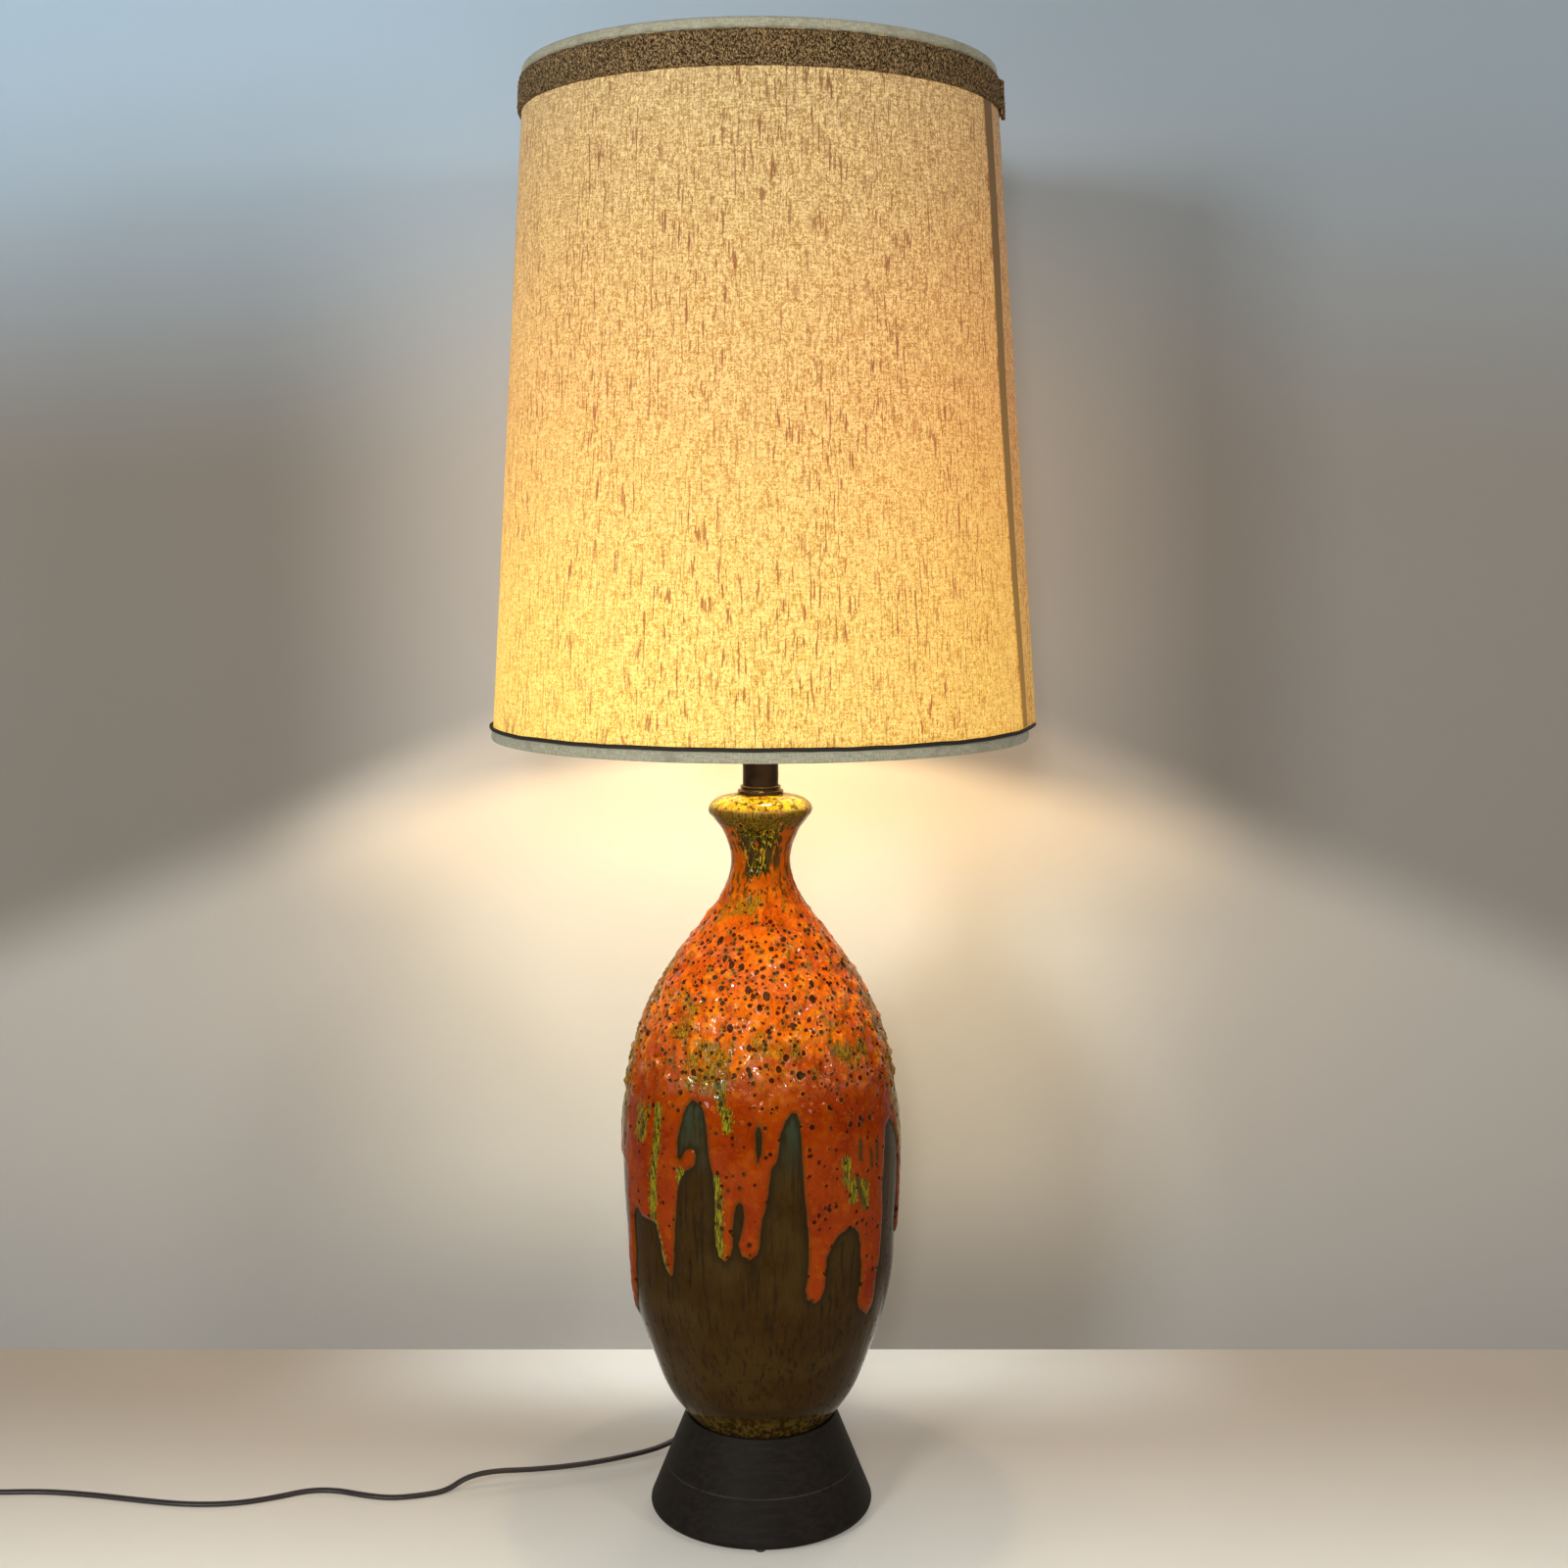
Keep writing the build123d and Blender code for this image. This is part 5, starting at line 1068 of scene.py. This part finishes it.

# %% [markdown]
# The lit cloth is a glow and a weave at once. The glow is painted light, given as the cloth's
# own emission: strongest beside and below the bulb, fading towards the top, and every thick yarn
# holds some of it back. The height drives the glow, and painted shade across the shade makes its
# right side duller, where less daylight falls.

# %% Weave and glow of the cloth
glowing_cloth, tree, shader = new_finish("slubbed_cloth", (0.42, 0.33, 0.2), 0.9, 0, 0.15)
shader.inputs["Sheen Weight"].default_value = 0.1
up = height_of(tree)
yarns = clouds(tree, placed(tree, (900, 60, 1), "UV"), 1.0, 2, 0.5)
cross = clouds(tree, placed(tree, (90, 1000, 1), "UV"), 1.0, 2, 0.5)
fuzz = clouds(tree, placed(tree, (520, 430, 1), "UV"), 1.0, 3, 0.65, 1.4)
long_slub = clouds(tree, placed(tree, (480, 42, 1), "UV", (0, 0, 0.04)), 1.0, 2, 0.5)
short_slub = clouds(tree, placed(tree, (700, 110, 1), "UV", (0, 0, 0.03)), 1.0, 2, 0.5)
crowded = step(tree, clouds(tree, placed(tree, (24, 8, 1), "UV"), 1.0, 3), 0.38, 0.6, 0.45, 1.0)
slub = larger(tree, step(tree, long_slub, 0.58, 0.65), step(tree, short_slub, 0.59, 0.66, 0, 0.7))
slub = times(tree, slub, crowded)
thickness = plus(tree, times(tree, yarns, 0.3), times(tree, cross, 0.25))
thickness = plus(tree, thickness, times(tree, fuzz, 0.95))
body_tone = mixed(tree, step(tree, thickness, 0.71, 0.84), (0.45, 0.365, 0.205), (0.25, 0.18, 0.055))
body_tone = mixed(tree, slub, body_tone, (0.16, 0.10, 0.05))
tree.links.new(body_tone, shader.inputs["Base Color"])

GLOW_SPAN = (0.616, 1.104)
linear = tree.nodes.new("ShaderNodeMapRange")
tree.links.new(up, linear.inputs["Value"])
linear.inputs["From Min"].default_value = GLOW_SPAN[0]
linear.inputs["From Max"].default_value = GLOW_SPAN[1]
GLOW = [
    (0.0, (0.88, 0.56, 0.04)),
    (0.09, (0.91, 0.585, 0.04)),
    (0.22, (0.89, 0.54, 0.04)),
    (0.36, (0.81, 0.42, 0.036)),
    (0.50, (0.69, 0.30, 0.036)),
    (0.65, (0.53, 0.235, 0.036)),
    (0.79, (0.37, 0.17, 0.043)),
    (1.0, (0.21, 0.11, 0.056)),
]
glow = graded(tree, linear.outputs["Result"], GLOW)
# Painted shade: the glow is dulled towards the right side, where less daylight falls.
SIDE_PAINTED_SHADE = [(0, (1.0, 1.0, 1.0)), (0.45, (0.83, 0.79, 0.62)), (1, (0.82, 0.67, 0.66))]
side_painted_shade = graded(tree, step(tree, place_of(tree, "X"), -0.15, 0.18), SIDE_PAINTED_SHADE)
glow = mixed(tree, 1.0, glow, side_painted_shade, "MULTIPLY")
glow = mixed(tree, step(tree, thickness, 0.74, 0.84, 0.0, 0.9), glow, (0.70, 0.50, 0.24), "MULTIPLY")
glow = mixed(tree, step(tree, thickness, 0.74, 0.64, 0.0, 0.30), glow, (1.0, 0.76, 0.17))
glow = mixed(tree, times(tree, slub, 0.95), glow, (0.54, 0.22, 0.06), "MULTIPLY")
tree.links.new(glow, shader.inputs["Emission Color"])
shader.inputs["Emission Strength"].default_value = 1.0
relief(tree, shader, plus(tree, thickness, slub), 0.0007, 0.6)
cloth.data.materials.append(glowing_cloth)
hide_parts("shade_fabric")
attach(cloth, "shade")
print("cloth finished")

# %% [markdown]
# The liner is translucent styrene, seen from below and from above. It is the brightest surface
# of the lit lamp, evenly frosted, with a faint vertical ripple from rolling.

# %% Liner
liner, tree, shader = new_finish("styrene_liner", (0.34, 0.27, 0.17), 0.6, 0, 0.3)
ripple = clouds(tree, placed(tree, (120, 120, 8)), 1.0, 4)
tree.links.new(mixed(tree, ripple, (0.30, 0.235, 0.145), (0.38, 0.31, 0.20)), shader.inputs["Base Color"])
# The liner's glow is painted light, given as emission that fades towards the top.
LINER_GLOW = [(0, (0.42, 0.27, 0.10)), (0.5, (0.34, 0.20, 0.07)), (1, (0.2, 0.11, 0.04))]
liner_glow = graded(tree, step(tree, height_of(tree), 0.62, 1.1), LINER_GLOW)
tree.links.new(mixed(tree, ripple, liner_glow, (0.24, 0.14, 0.05)), shader.inputs["Emission Color"])
shader.inputs["Emission Strength"].default_value = 1.0
relief(tree, shader, ripple, 0.0004, 0.4)
paint(liner, "shade_liner")
print("liner ready")

# %% [markdown]
# ## The shade's trims
# A pale tape is glued round each rim, with its edge folded under. It is lathed as a thin band
# with round edges, and small waves in it come from the glue and the stretch.

# %% Tapes round the rims


def band(name, inside, height, width, thick, steps, count=6):
    """A flat band with round edges that leans as the cone does, lathed at a height."""
    lean = (TOP_R - BOTTOM_R) / (TOP_Z - BOTTOM_Z)
    corners = []
    for n in range(count + 1):
        h = width * n / count
        edge = min(h, width - h) / thick
        puff = thick * (1 if edge > 1 else math.sqrt(max(0, 1 - (1 - edge) ** 2)))
        corners.append((inside + lean * h + max(puff, thick * 0.25), height + h))
    corners += [(inside + lean * h, height + h) for h in np.linspace(width, 0, 3)]
    return lathe(name, corners, steps, closed=True)


def ripple_out(piece, size, depth, seed, squeeze=(1, 1, 1)):
    """Moves a lathed piece's outside in and out a little."""
    points = points_of(piece)
    radius = np.hypot(points[:, 0], points[:, 1])
    move = depth * smooth_noise(points * np.array(squeeze), size, seed)
    points[:, :2] *= (1 + move / radius)[:, None]
    set_points(piece, points)


def cloth_finish(name, colour, light, across, along, rough=0.92, depth=0.0004):
    """Fine woven or wrapped trim, with threads both ways along its wrapped map."""
    material, tree, shader = new_finish(name, colour, rough, 0, 0.25)
    shader.inputs["Sheen Weight"].default_value = 0.2
    warp = clouds(tree, placed(tree, (across, along, 1), "UV"), 1.0, 3, 0.6)
    weft = clouds(tree, placed(tree, (along * 0.5, across, 1), "UV"), 1.0, 3, 0.6)
    tone = times(tree, plus(tree, warp, weft), 0.5)
    wear = clouds(tree, placed(tree), 60, 4)
    shade = mixed(tree, step(tree, tone, 0.38, 0.62), colour, light)
    shade = mixed(tree, step(tree, wear, 0.5, 0.8, 0, 0.5), shade, tuple(c * 0.62 for c in colour))
    tree.links.new(shade, shader.inputs["Base Color"])
    relief(tree, shader, tone, depth, 0.8)
    return material


tape_cloth = cloth_finish("pale_tape", (0.27, 0.245, 0.165), (0.43, 0.41, 0.30), 1400, 260)
TAPE_STEPS = 300
tape_bottom = band("tape_bottom", BOTTOM_R + 0.2, 615.9, 8.0, 1.0, TAPE_STEPS)
tape_top = band("tape_top", TOP_R - 0.4, 1096.7, 7.6, 2.1, TAPE_STEPS)
for piece, node in ((tape_bottom, "shade_tape_bottom"), (tape_top, "shade_tape_top")):
    ripple_out(piece, 9.0, 0.28, 3.3)
    wrap_map(piece, 190.0, SEAM_ANGLE)
    piece.data.materials.append(tape_cloth)
    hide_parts(node)
    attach(piece, "shade")
print("tapes:", len(tape_bottom.data.polygons) + len(tape_top.data.polygons), "faces")

# %% [markdown]
# Above the bottom tape runs a dark piping, a thin cord in a bias strip. Its small waves and
# twisted cover keep it from looking like wire. At the right it is pushed out by the loose lap.

# %% Piping
PIPING_Z, PIPING_R = 625.2, 1.4
PIPING_LIFT = 5.0
piping_middle = cone_radius(PIPING_Z) + PIPING_R + 0.1
ring = [math.radians(a) for a in range(0, 360, 36)]
circle = [(piping_middle + PIPING_R * math.cos(a), PIPING_Z + PIPING_R * math.sin(a)) for a in ring]
piping = lathe("dark_piping", circle, 360, closed=True)
points = points_of(piping)
points[:, 2] += 0.5 * smooth_noise(points * [1, 1, 0], 24.0, 8.8)
piping_angle = np.degrees(np.arctan2(points[:, 0], -points[:, 1]))
lifted = PIPING_LIFT * np.exp(-(((piping_angle - 90) / 9) ** 2))
points[:, :2] *= (1 + (0.12 * smooth_noise(points, 2.4, 1.2) + lifted) / piping_middle)[:, None]
set_points(piping, points)
wrap_map(piping, 204.0, SEAM_ANGLE)
piping_cloth, tree, shader = new_finish("piping_cloth", (0.012, 0.009, 0.008), 0.75, 0, 0.3)
twist = tree.nodes.new("ShaderNodeTexWave")
tree.links.new(placed(tree, (600, 900, 1), "UV"), twist.inputs["Vector"])
twist.inputs["Scale"].default_value = 0.5
twist.bands_direction = "DIAGONAL"
twist_tone = mixed(tree, twist.outputs["Fac"], (0.008, 0.006, 0.006), (0.03, 0.024, 0.02))
tree.links.new(twist_tone, shader.inputs["Base Color"])
relief(tree, shader, twist.outputs["Fac"], 0.0003, 0.8)
piping.data.materials.append(piping_cloth)
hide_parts("shade_piping")
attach(piping, "shade")
print("piping ready")

# %% [markdown]
# ## The wool braid
# Near the top a wide braid of looped brown wool goes round. Its surface is all small curls, so
# it is a lathed band whose skin is broken up by two sizes of noise, and its finish paints shade
# into the hollows between the loops and paints highlights on the curls' tops and on fibres.

# %% Braid
GIMP_LOW, GIMP_HIGH = 1072.5, 1096.6
GIMP_WIDTH, GIMP_THICKNESS, GIMP_STEPS = GIMP_HIGH - GIMP_LOW, 2.9, 760
gimp_inside = cone_radius(GIMP_LOW) + 0.1
gimp = band("wool_braid", gimp_inside, GIMP_LOW, GIMP_WIDTH, GIMP_THICKNESS, GIMP_STEPS, 24)
points = points_of(gimp)
radius = np.hypot(points[:, 0], points[:, 1])
front_skin = radius > np.interp(points[:, 2], rows, [cone_radius(h) for h in rows]) + 0.9
curls = smooth_noise(points, 1.9, 4.4) + 0.5 * smooth_noise(points, 1.1, 2.9)
edge_wave = 0.5 * smooth_noise(points * [1, 1, 0.2], 6.0, 1.5)
points[:, :2] *= (1 + np.where(front_skin, 0.95 * curls, 0) / radius)[:, None]
points[:, 2] += edge_wave * (np.abs(points[:, 2] - 1084.5) > 9)
set_points(gimp, points)
keep_number(gimp, "curls", curls)
wrap_map(gimp, 174.0, SEAM_ANGLE)
wool, tree, shader = new_finish("looped_wool", (0.16, 0.10, 0.055), 0.95, 0, 0.05)
shader.inputs["Sheen Weight"].default_value = 0.03
loops = cells(tree, placed(tree, (1, 1, 0.7)), 620, output="Distance")
fibre = clouds(tree, placed(tree, (1300, 1300, 620)), 1.0, 3, 0.6)
# Painted light: the curls' tops are painted lighter, the hollows between loops darker as shade, and fibre tips get
# painted highlights.
high = step(tree, stored(tree, "curls"), -0.5, 0.7)
tone = mixed(tree, high, (0.034, 0.015, 0.006), (0.44, 0.26, 0.115))
tone = mixed(tree, step(tree, loops, 0.36, 0.50, 0, 0.85), tone, (0.020, 0.009, 0.003))
tone = mixed(tree, step(tree, fibre, 0.52, 0.58, 0, 0.6), tone, (0.56, 0.38, 0.17))
tree.links.new(tone, shader.inputs["Base Color"])
relief(tree, shader, less(tree, fibre, loops), 0.0015, 0.8)
gimp.data.materials.append(wool)
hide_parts("shade_gimp")
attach(gimp, "shade")
print("braid faces:", len(gimp.data.polygons))

# %% [markdown]
# The cloth's own end is folded over near the right edge. The fold is a dark line where four
# layers meet, painted in as shadow and weaker glow, and beyond it the loose lap stands off the
# shade, further towards the bottom, painted duller and with less glow as painted shade. The
# braid's end is frayed and stands off too. Both are cut from a grid and bent round the cone.

# %% Lap seam


def strip(name, angle, low, high, width, thick, across, along, off=0.0):
    """A thin pad on the cone: a grid in edit mode, extruded for its thickness and bent round."""
    clear_selection()
    bpy.ops.mesh.primitive_grid_add(x_subdivisions=across, y_subdivisions=along, size=2)
    piece = bpy.context.object
    piece.name = piece.data.name = name
    bpy.ops.object.mode_set(mode="EDIT")
    bpy.ops.mesh.select_all(action="SELECT")
    bpy.ops.mesh.extrude_region_move(TRANSFORM_OT_translate={"value": (0, 0, 1)})
    bpy.ops.mesh.select_all(action="SELECT")
    bpy.ops.mesh.normals_make_consistent(inside=False)
    bpy.ops.object.mode_set(mode="OBJECT")
    flat = points_of(piece) * MM
    side_share, up_share, out_share = flat[:, 0], (flat[:, 1] + 1) / 2, flat[:, 2]
    edge = np.minimum(1 - np.abs(side_share), 1) * width / 2
    puff = 0.35 + 0.65 * smooth_share(edge, 0, thick)
    height = low + (high - low) * up_share
    radius = cone_radius(height) + off + out_share * thick * puff
    turn = np.radians(angle) + side_share * width / 2 / radius
    bent = np.stack([radius * np.sin(turn), -radius * np.cos(turn), height], axis=1)
    set_points(piece, bent)
    bpy.ops.object.shade_smooth()
    return piece


SEAM_LINE = np.array([[616, 75.6], [660, 74.4], [730, 71.4], [870, 68.6], [1006, 68.2], [1073, 66.8]])
FOLD, FLAP = 16.5, 44.0
FOLD_GLOW = [(0, (0.20, 0.105, 0.010)), (0.5, (0.125, 0.07, 0.010)), (1, (0.04, 0.024, 0.007))]
seam = strip("lap_seam", 90, 626.8, 1072.4, FOLD + FLAP, 0.8, 34, 120, 0.05)
points = points_of(seam)
radius = np.hypot(points[:, 0], points[:, 1])
along_arc = radius * (np.arctan2(points[:, 1], points[:, 0])) + (FOLD + FLAP) / 2
free = smooth_share(along_arc, FOLD - 2, FOLD + FLAP)
loose = np.interp(points[:, 2], [626, 760, 1000, 1072], [7.0, 4.2, 1.0, 0.3])
radius += free * loose + 0.25 * smooth_noise(points * [1, 1, 0.3], 14.0, 5.0)
radius += 0.5 * np.exp(-(((along_arc - FOLD) / 2.0) ** 2))
seam_start = np.interp(points[:, 2], SEAM_LINE[:, 0], SEAM_LINE[:, 1])
turn = np.radians(seam_start) + (along_arc - FOLD / 2) / radius
points[:, 0] = radius * np.sin(turn)
points[:, 1] = -radius * np.cos(turn)
set_points(seam, points)
keep_number(seam, "fold", FOLD - along_arc)
wrap_map(seam, CLOTH_MAP_RADIUS, SEAM_ANGLE)
seam_cloth = glowing_cloth.copy()
seam_cloth.name = "seam_cloth"
tree = seam_cloth.node_tree
shader = tree.nodes["Principled BSDF"]
into_fold = stored(tree, "fold")
folded = times(tree, step(tree, into_fold, -0.6, 0.6), step(tree, into_fold, FOLD - 0.6, FOLD - 1.6))
# Painted shade: the lap's colour and glow are dimmed, and the fold gets a painted shadow line.
for socket, dimmed, dark in (("Base Color", 0.85, (0.15, 0.070, 0.028)), ("Emission Color", 0.60, None)):
    single = shader.inputs[socket].links[0].from_socket
    lap = mixed(tree, 1.0, single, (dimmed, dimmed * 0.92, dimmed * 0.92), "MULTIPLY")
    if dark is None:
        dark = graded(tree, step(tree, height_of(tree), 0.62, 1.07), FOLD_GLOW)
    tree.links.new(mixed(tree, folded, lap, dark), shader.inputs[socket])
seam.data.materials.append(seam_cloth)
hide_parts("shade_seam")
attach(seam, "shade")

# %% Frayed end of the braid
fray = strip("frayed_braid", 90 - 8.0, 1068.2, 1094.8, 13.0, 2.6, 24, 48, 3.0)
points = points_of(fray)
tufts = smooth_noise(points, 1.7, 8.1) + 0.6 * smooth_noise(points, 0.9, 6.6)
points[:, :2] *= (1 + 0.7 * tufts / 175)[:, None]
points[:, 2] += 0.9 * smooth_noise(points, 3.0, 2.0)
set_points(fray, points)
keep_number(fray, "curls", tufts)
fray.data.materials.append(wool)
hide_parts("shade_gimp_tail")
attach(fray, "shade")
print("trims ready")

# %% [markdown]
# ## Room and light
# The lamp stands on a pale floor, with a pale wall close behind it. Neither is part of the
# lamp. The wall faces one way only, so that a camera behind the lamp looks through it, and it
# shows only to the camera and in reflections, so the world lights every side alike.

# %% Floor and wall
WALL_Y = 0.31
ROOM_SIZE = 12
FLOOR_GLOW = 0.24


def stage_plane(name, size, location, tilt=0.0):
    """A large plane of the room, kept out of the lamp's own pieces."""
    clear_selection()
    bpy.ops.mesh.primitive_plane_add(size=size, location=location, rotation=(tilt, 0, 0))
    plane = bpy.context.object
    plane.name = name
    bpy.ops.object.transform_apply(location=True, rotation=True, scale=True)
    return plane


def seen_share(tree):
    """1 where the camera, a reflection or glass looks at the surface, 0 for other light."""
    path = tree.nodes.new("ShaderNodeLightPath")
    seen = larger(tree, path.outputs["Is Camera Ray"], path.outputs["Is Glossy Ray"])
    return larger(tree, seen, path.outputs["Is Transmission Ray"])


floor = stage_plane("pale_floor", ROOM_SIZE, (0, 0, 0))
wall = stage_plane("pale_wall", ROOM_SIZE, (0, WALL_Y, ROOM_SIZE / 2), math.radians(90))

floor_paint, tree, shader = new_finish("floor_paint", (0.6, 0.56, 0.48), 0.5, 0, 0.25)
patchy = clouds(tree, placed(tree), 3.5, 3)
beyond_lamp = place_of(tree, "Y")
aside = unsigned(tree, place_of(tree, "X"))
# Painted light: the floor is painted paler towards the front, where the front lamps fall, and a painted pool of bulb
# light lies just behind the lamp.
painted_front_light = step(tree, beyond_lamp, 0.25, -0.36)
floor_tone = mixed(tree, painted_front_light, (0.385, 0.320, 0.250), (0.92, 0.92, 0.84))
bright = times(tree, step(tree, aside, 0.50, 0.10), step(tree, beyond_lamp, 0.10, 0.27))
floor_tone = mixed(tree, bright, floor_tone, (0.90, 0.91, 0.86))
floor_tone = mixed(tree, step(tree, patchy, 0.35, 0.65, 0, 0.12), floor_tone, (0.46, 0.44, 0.40))
tree.links.new(floor_tone, shader.inputs["Base Color"])
tree.links.new(step(tree, patchy, 0.3, 0.7, 0.5, 0.62), shader.inputs["Roughness"])
tree.links.new(floor_tone, shader.inputs["Emission Color"])
tree.links.new(times(tree, seen_share(tree), FLOOR_GLOW), shader.inputs["Emission Strength"])
floor.data.materials.append(floor_paint)

wall_paint, tree, shader = new_finish("wall_paint", (0.45, 0.42, 0.38), 0.85, 0, 0.2)
cloudy = clouds(tree, placed(tree), 1.5, 3)
up = height_of(tree)
sideways = place_of(tree, "X")
aside = unsigned(tree, sideways)
# Painted light and shade on the wall: paler near the lamp where the shade's glow falls, darker in painted shade
# beside and above the shade and more so on the left, a bright painted V of bulb light below the shade, painted shade
# along the wall's foot and a bluish painted daylight at the top.
painted_glow_near_lamp = step(tree, aside, 0.47, 0.17)
far_painted_shade = mixed(tree, step(tree, sideways, -0.3, 0.3), (0.228, 0.202, 0.172), (0.262, 0.240, 0.213))
upper = mixed(tree, painted_glow_near_lamp, far_painted_shade, (0.55, 0.52, 0.48))
lower = mixed(tree, painted_glow_near_lamp, (0.41, 0.39, 0.36), (0.64, 0.62, 0.55))
slanted = plus(tree, up, times(tree, aside, 0.4))
wall_tone = mixed(tree, step(tree, slanted, 0.72, 0.62), upper, lower)
painted_bulb_wedge = times(tree, step(tree, up, 0.40, 0.52), step(tree, slanted, 0.72, 0.66))
painted_bulb_wedge = times(tree, painted_bulb_wedge, step(tree, aside, 0.50, 0.30))
wall_tone = mixed(tree, painted_bulb_wedge, wall_tone, (0.70, 0.625, 0.53))
wall_tone = mixed(tree, step(tree, up, 0.20, 0.02), wall_tone, (0.39, 0.38, 0.36))
painted_daylight_tone = mixed(tree, step(tree, sideways, -0.42, 0.42), (0.42, 0.55, 0.67), (0.31, 0.37, 0.42))
wall_tone = mixed(tree, step(tree, up, 0.80, 1.24), wall_tone, painted_daylight_tone)
wall_tone = mixed(tree, step(tree, cloudy, 0.35, 0.65, 0, 0.12), wall_tone, (0.30, 0.28, 0.26))
tree.links.new(wall_tone, shader.inputs["Base Color"])
faces = tree.nodes.new("ShaderNodeNewGeometry")
shown = times(tree, seen_share(tree), less(tree, 1.0, faces.outputs["Backfacing"]))
clear = tree.nodes.new("ShaderNodeBsdfTransparent")
choice = tree.nodes.new("ShaderNodeMixShader")
tree.links.new(shown, choice.inputs["Fac"])
tree.links.new(clear.outputs[0], choice.inputs[1])
tree.links.new(shader.outputs[0], choice.inputs[2])
tree.links.new(choice.outputs[0], tree.nodes["Material Output"].inputs["Surface"])
wall.data.materials.append(wall_paint)
print("room ready")

# %% [markdown]
# Daylight comes softly from all round, a little more from the left and the front. The bulb's
# own light is a small warm lamp inside the shade: it lights the neck and shoulders from above
# and lights the wall below the shade, where a bright V of its light is also painted into the
# wall's colour.

# %% World and lamps
DAYLIGHT = 0.24
BULB_PLACE = (0, 0, 0.694)
BULB_SIZE = 0.022
AIM = (0, 0, 0.5)
world = bpy.data.worlds.new("soft_day")
bpy.context.scene.world = world
world.use_nodes = True
day = world.node_tree.nodes["Background"]
day.inputs["Color"].default_value = (0.95, 0.97, 1.0, 1)
day.inputs["Strength"].default_value = DAYLIGHT
bpy.context.scene.view_settings.view_transform = "Standard"


def area_lamp(name, place, size, power, colour):
    """A square soft lamp that looks at the middle of the lamp's body."""
    clear_selection()
    bpy.ops.object.light_add(type="AREA", location=place)
    lamp = bpy.context.object
    lamp.name = name
    lamp.data.size = size
    lamp.data.energy = power
    lamp.data.color = colour
    lamp.rotation_euler = (Vector(AIM) - Vector(place)).to_track_quat("-Z", "Y").to_euler()
    return lamp


area_lamp("window_left", (-1.4, -2.2, 1.25), 0.5, 35, (0.94, 0.98, 1.0))
area_lamp("window_front", (-0.12, -2.35, 1.12), 0.2, 11, (1.0, 0.99, 0.96))
area_lamp("room_right", (2.2, -2.0, 1.3), 0.35, 15, (1.0, 0.96, 0.9))
area_lamp("room_behind", (0.9, 2.3, 1.6), 1.0, 10, (1.0, 0.97, 0.93))

clear_selection()
bpy.ops.object.light_add(type="POINT", location=BULB_PLACE)
bulb_light = bpy.context.object
bulb_light.name = "bulb_light"
bulb_light.data.energy = 7.5
bulb_light.data.color = (1.0, 0.76, 0.44)
bulb_light.data.shadow_soft_size = BULB_SIZE
for name in ("bulb_glass", "bulb_stem"):
    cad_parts[name].visible_shadow = False
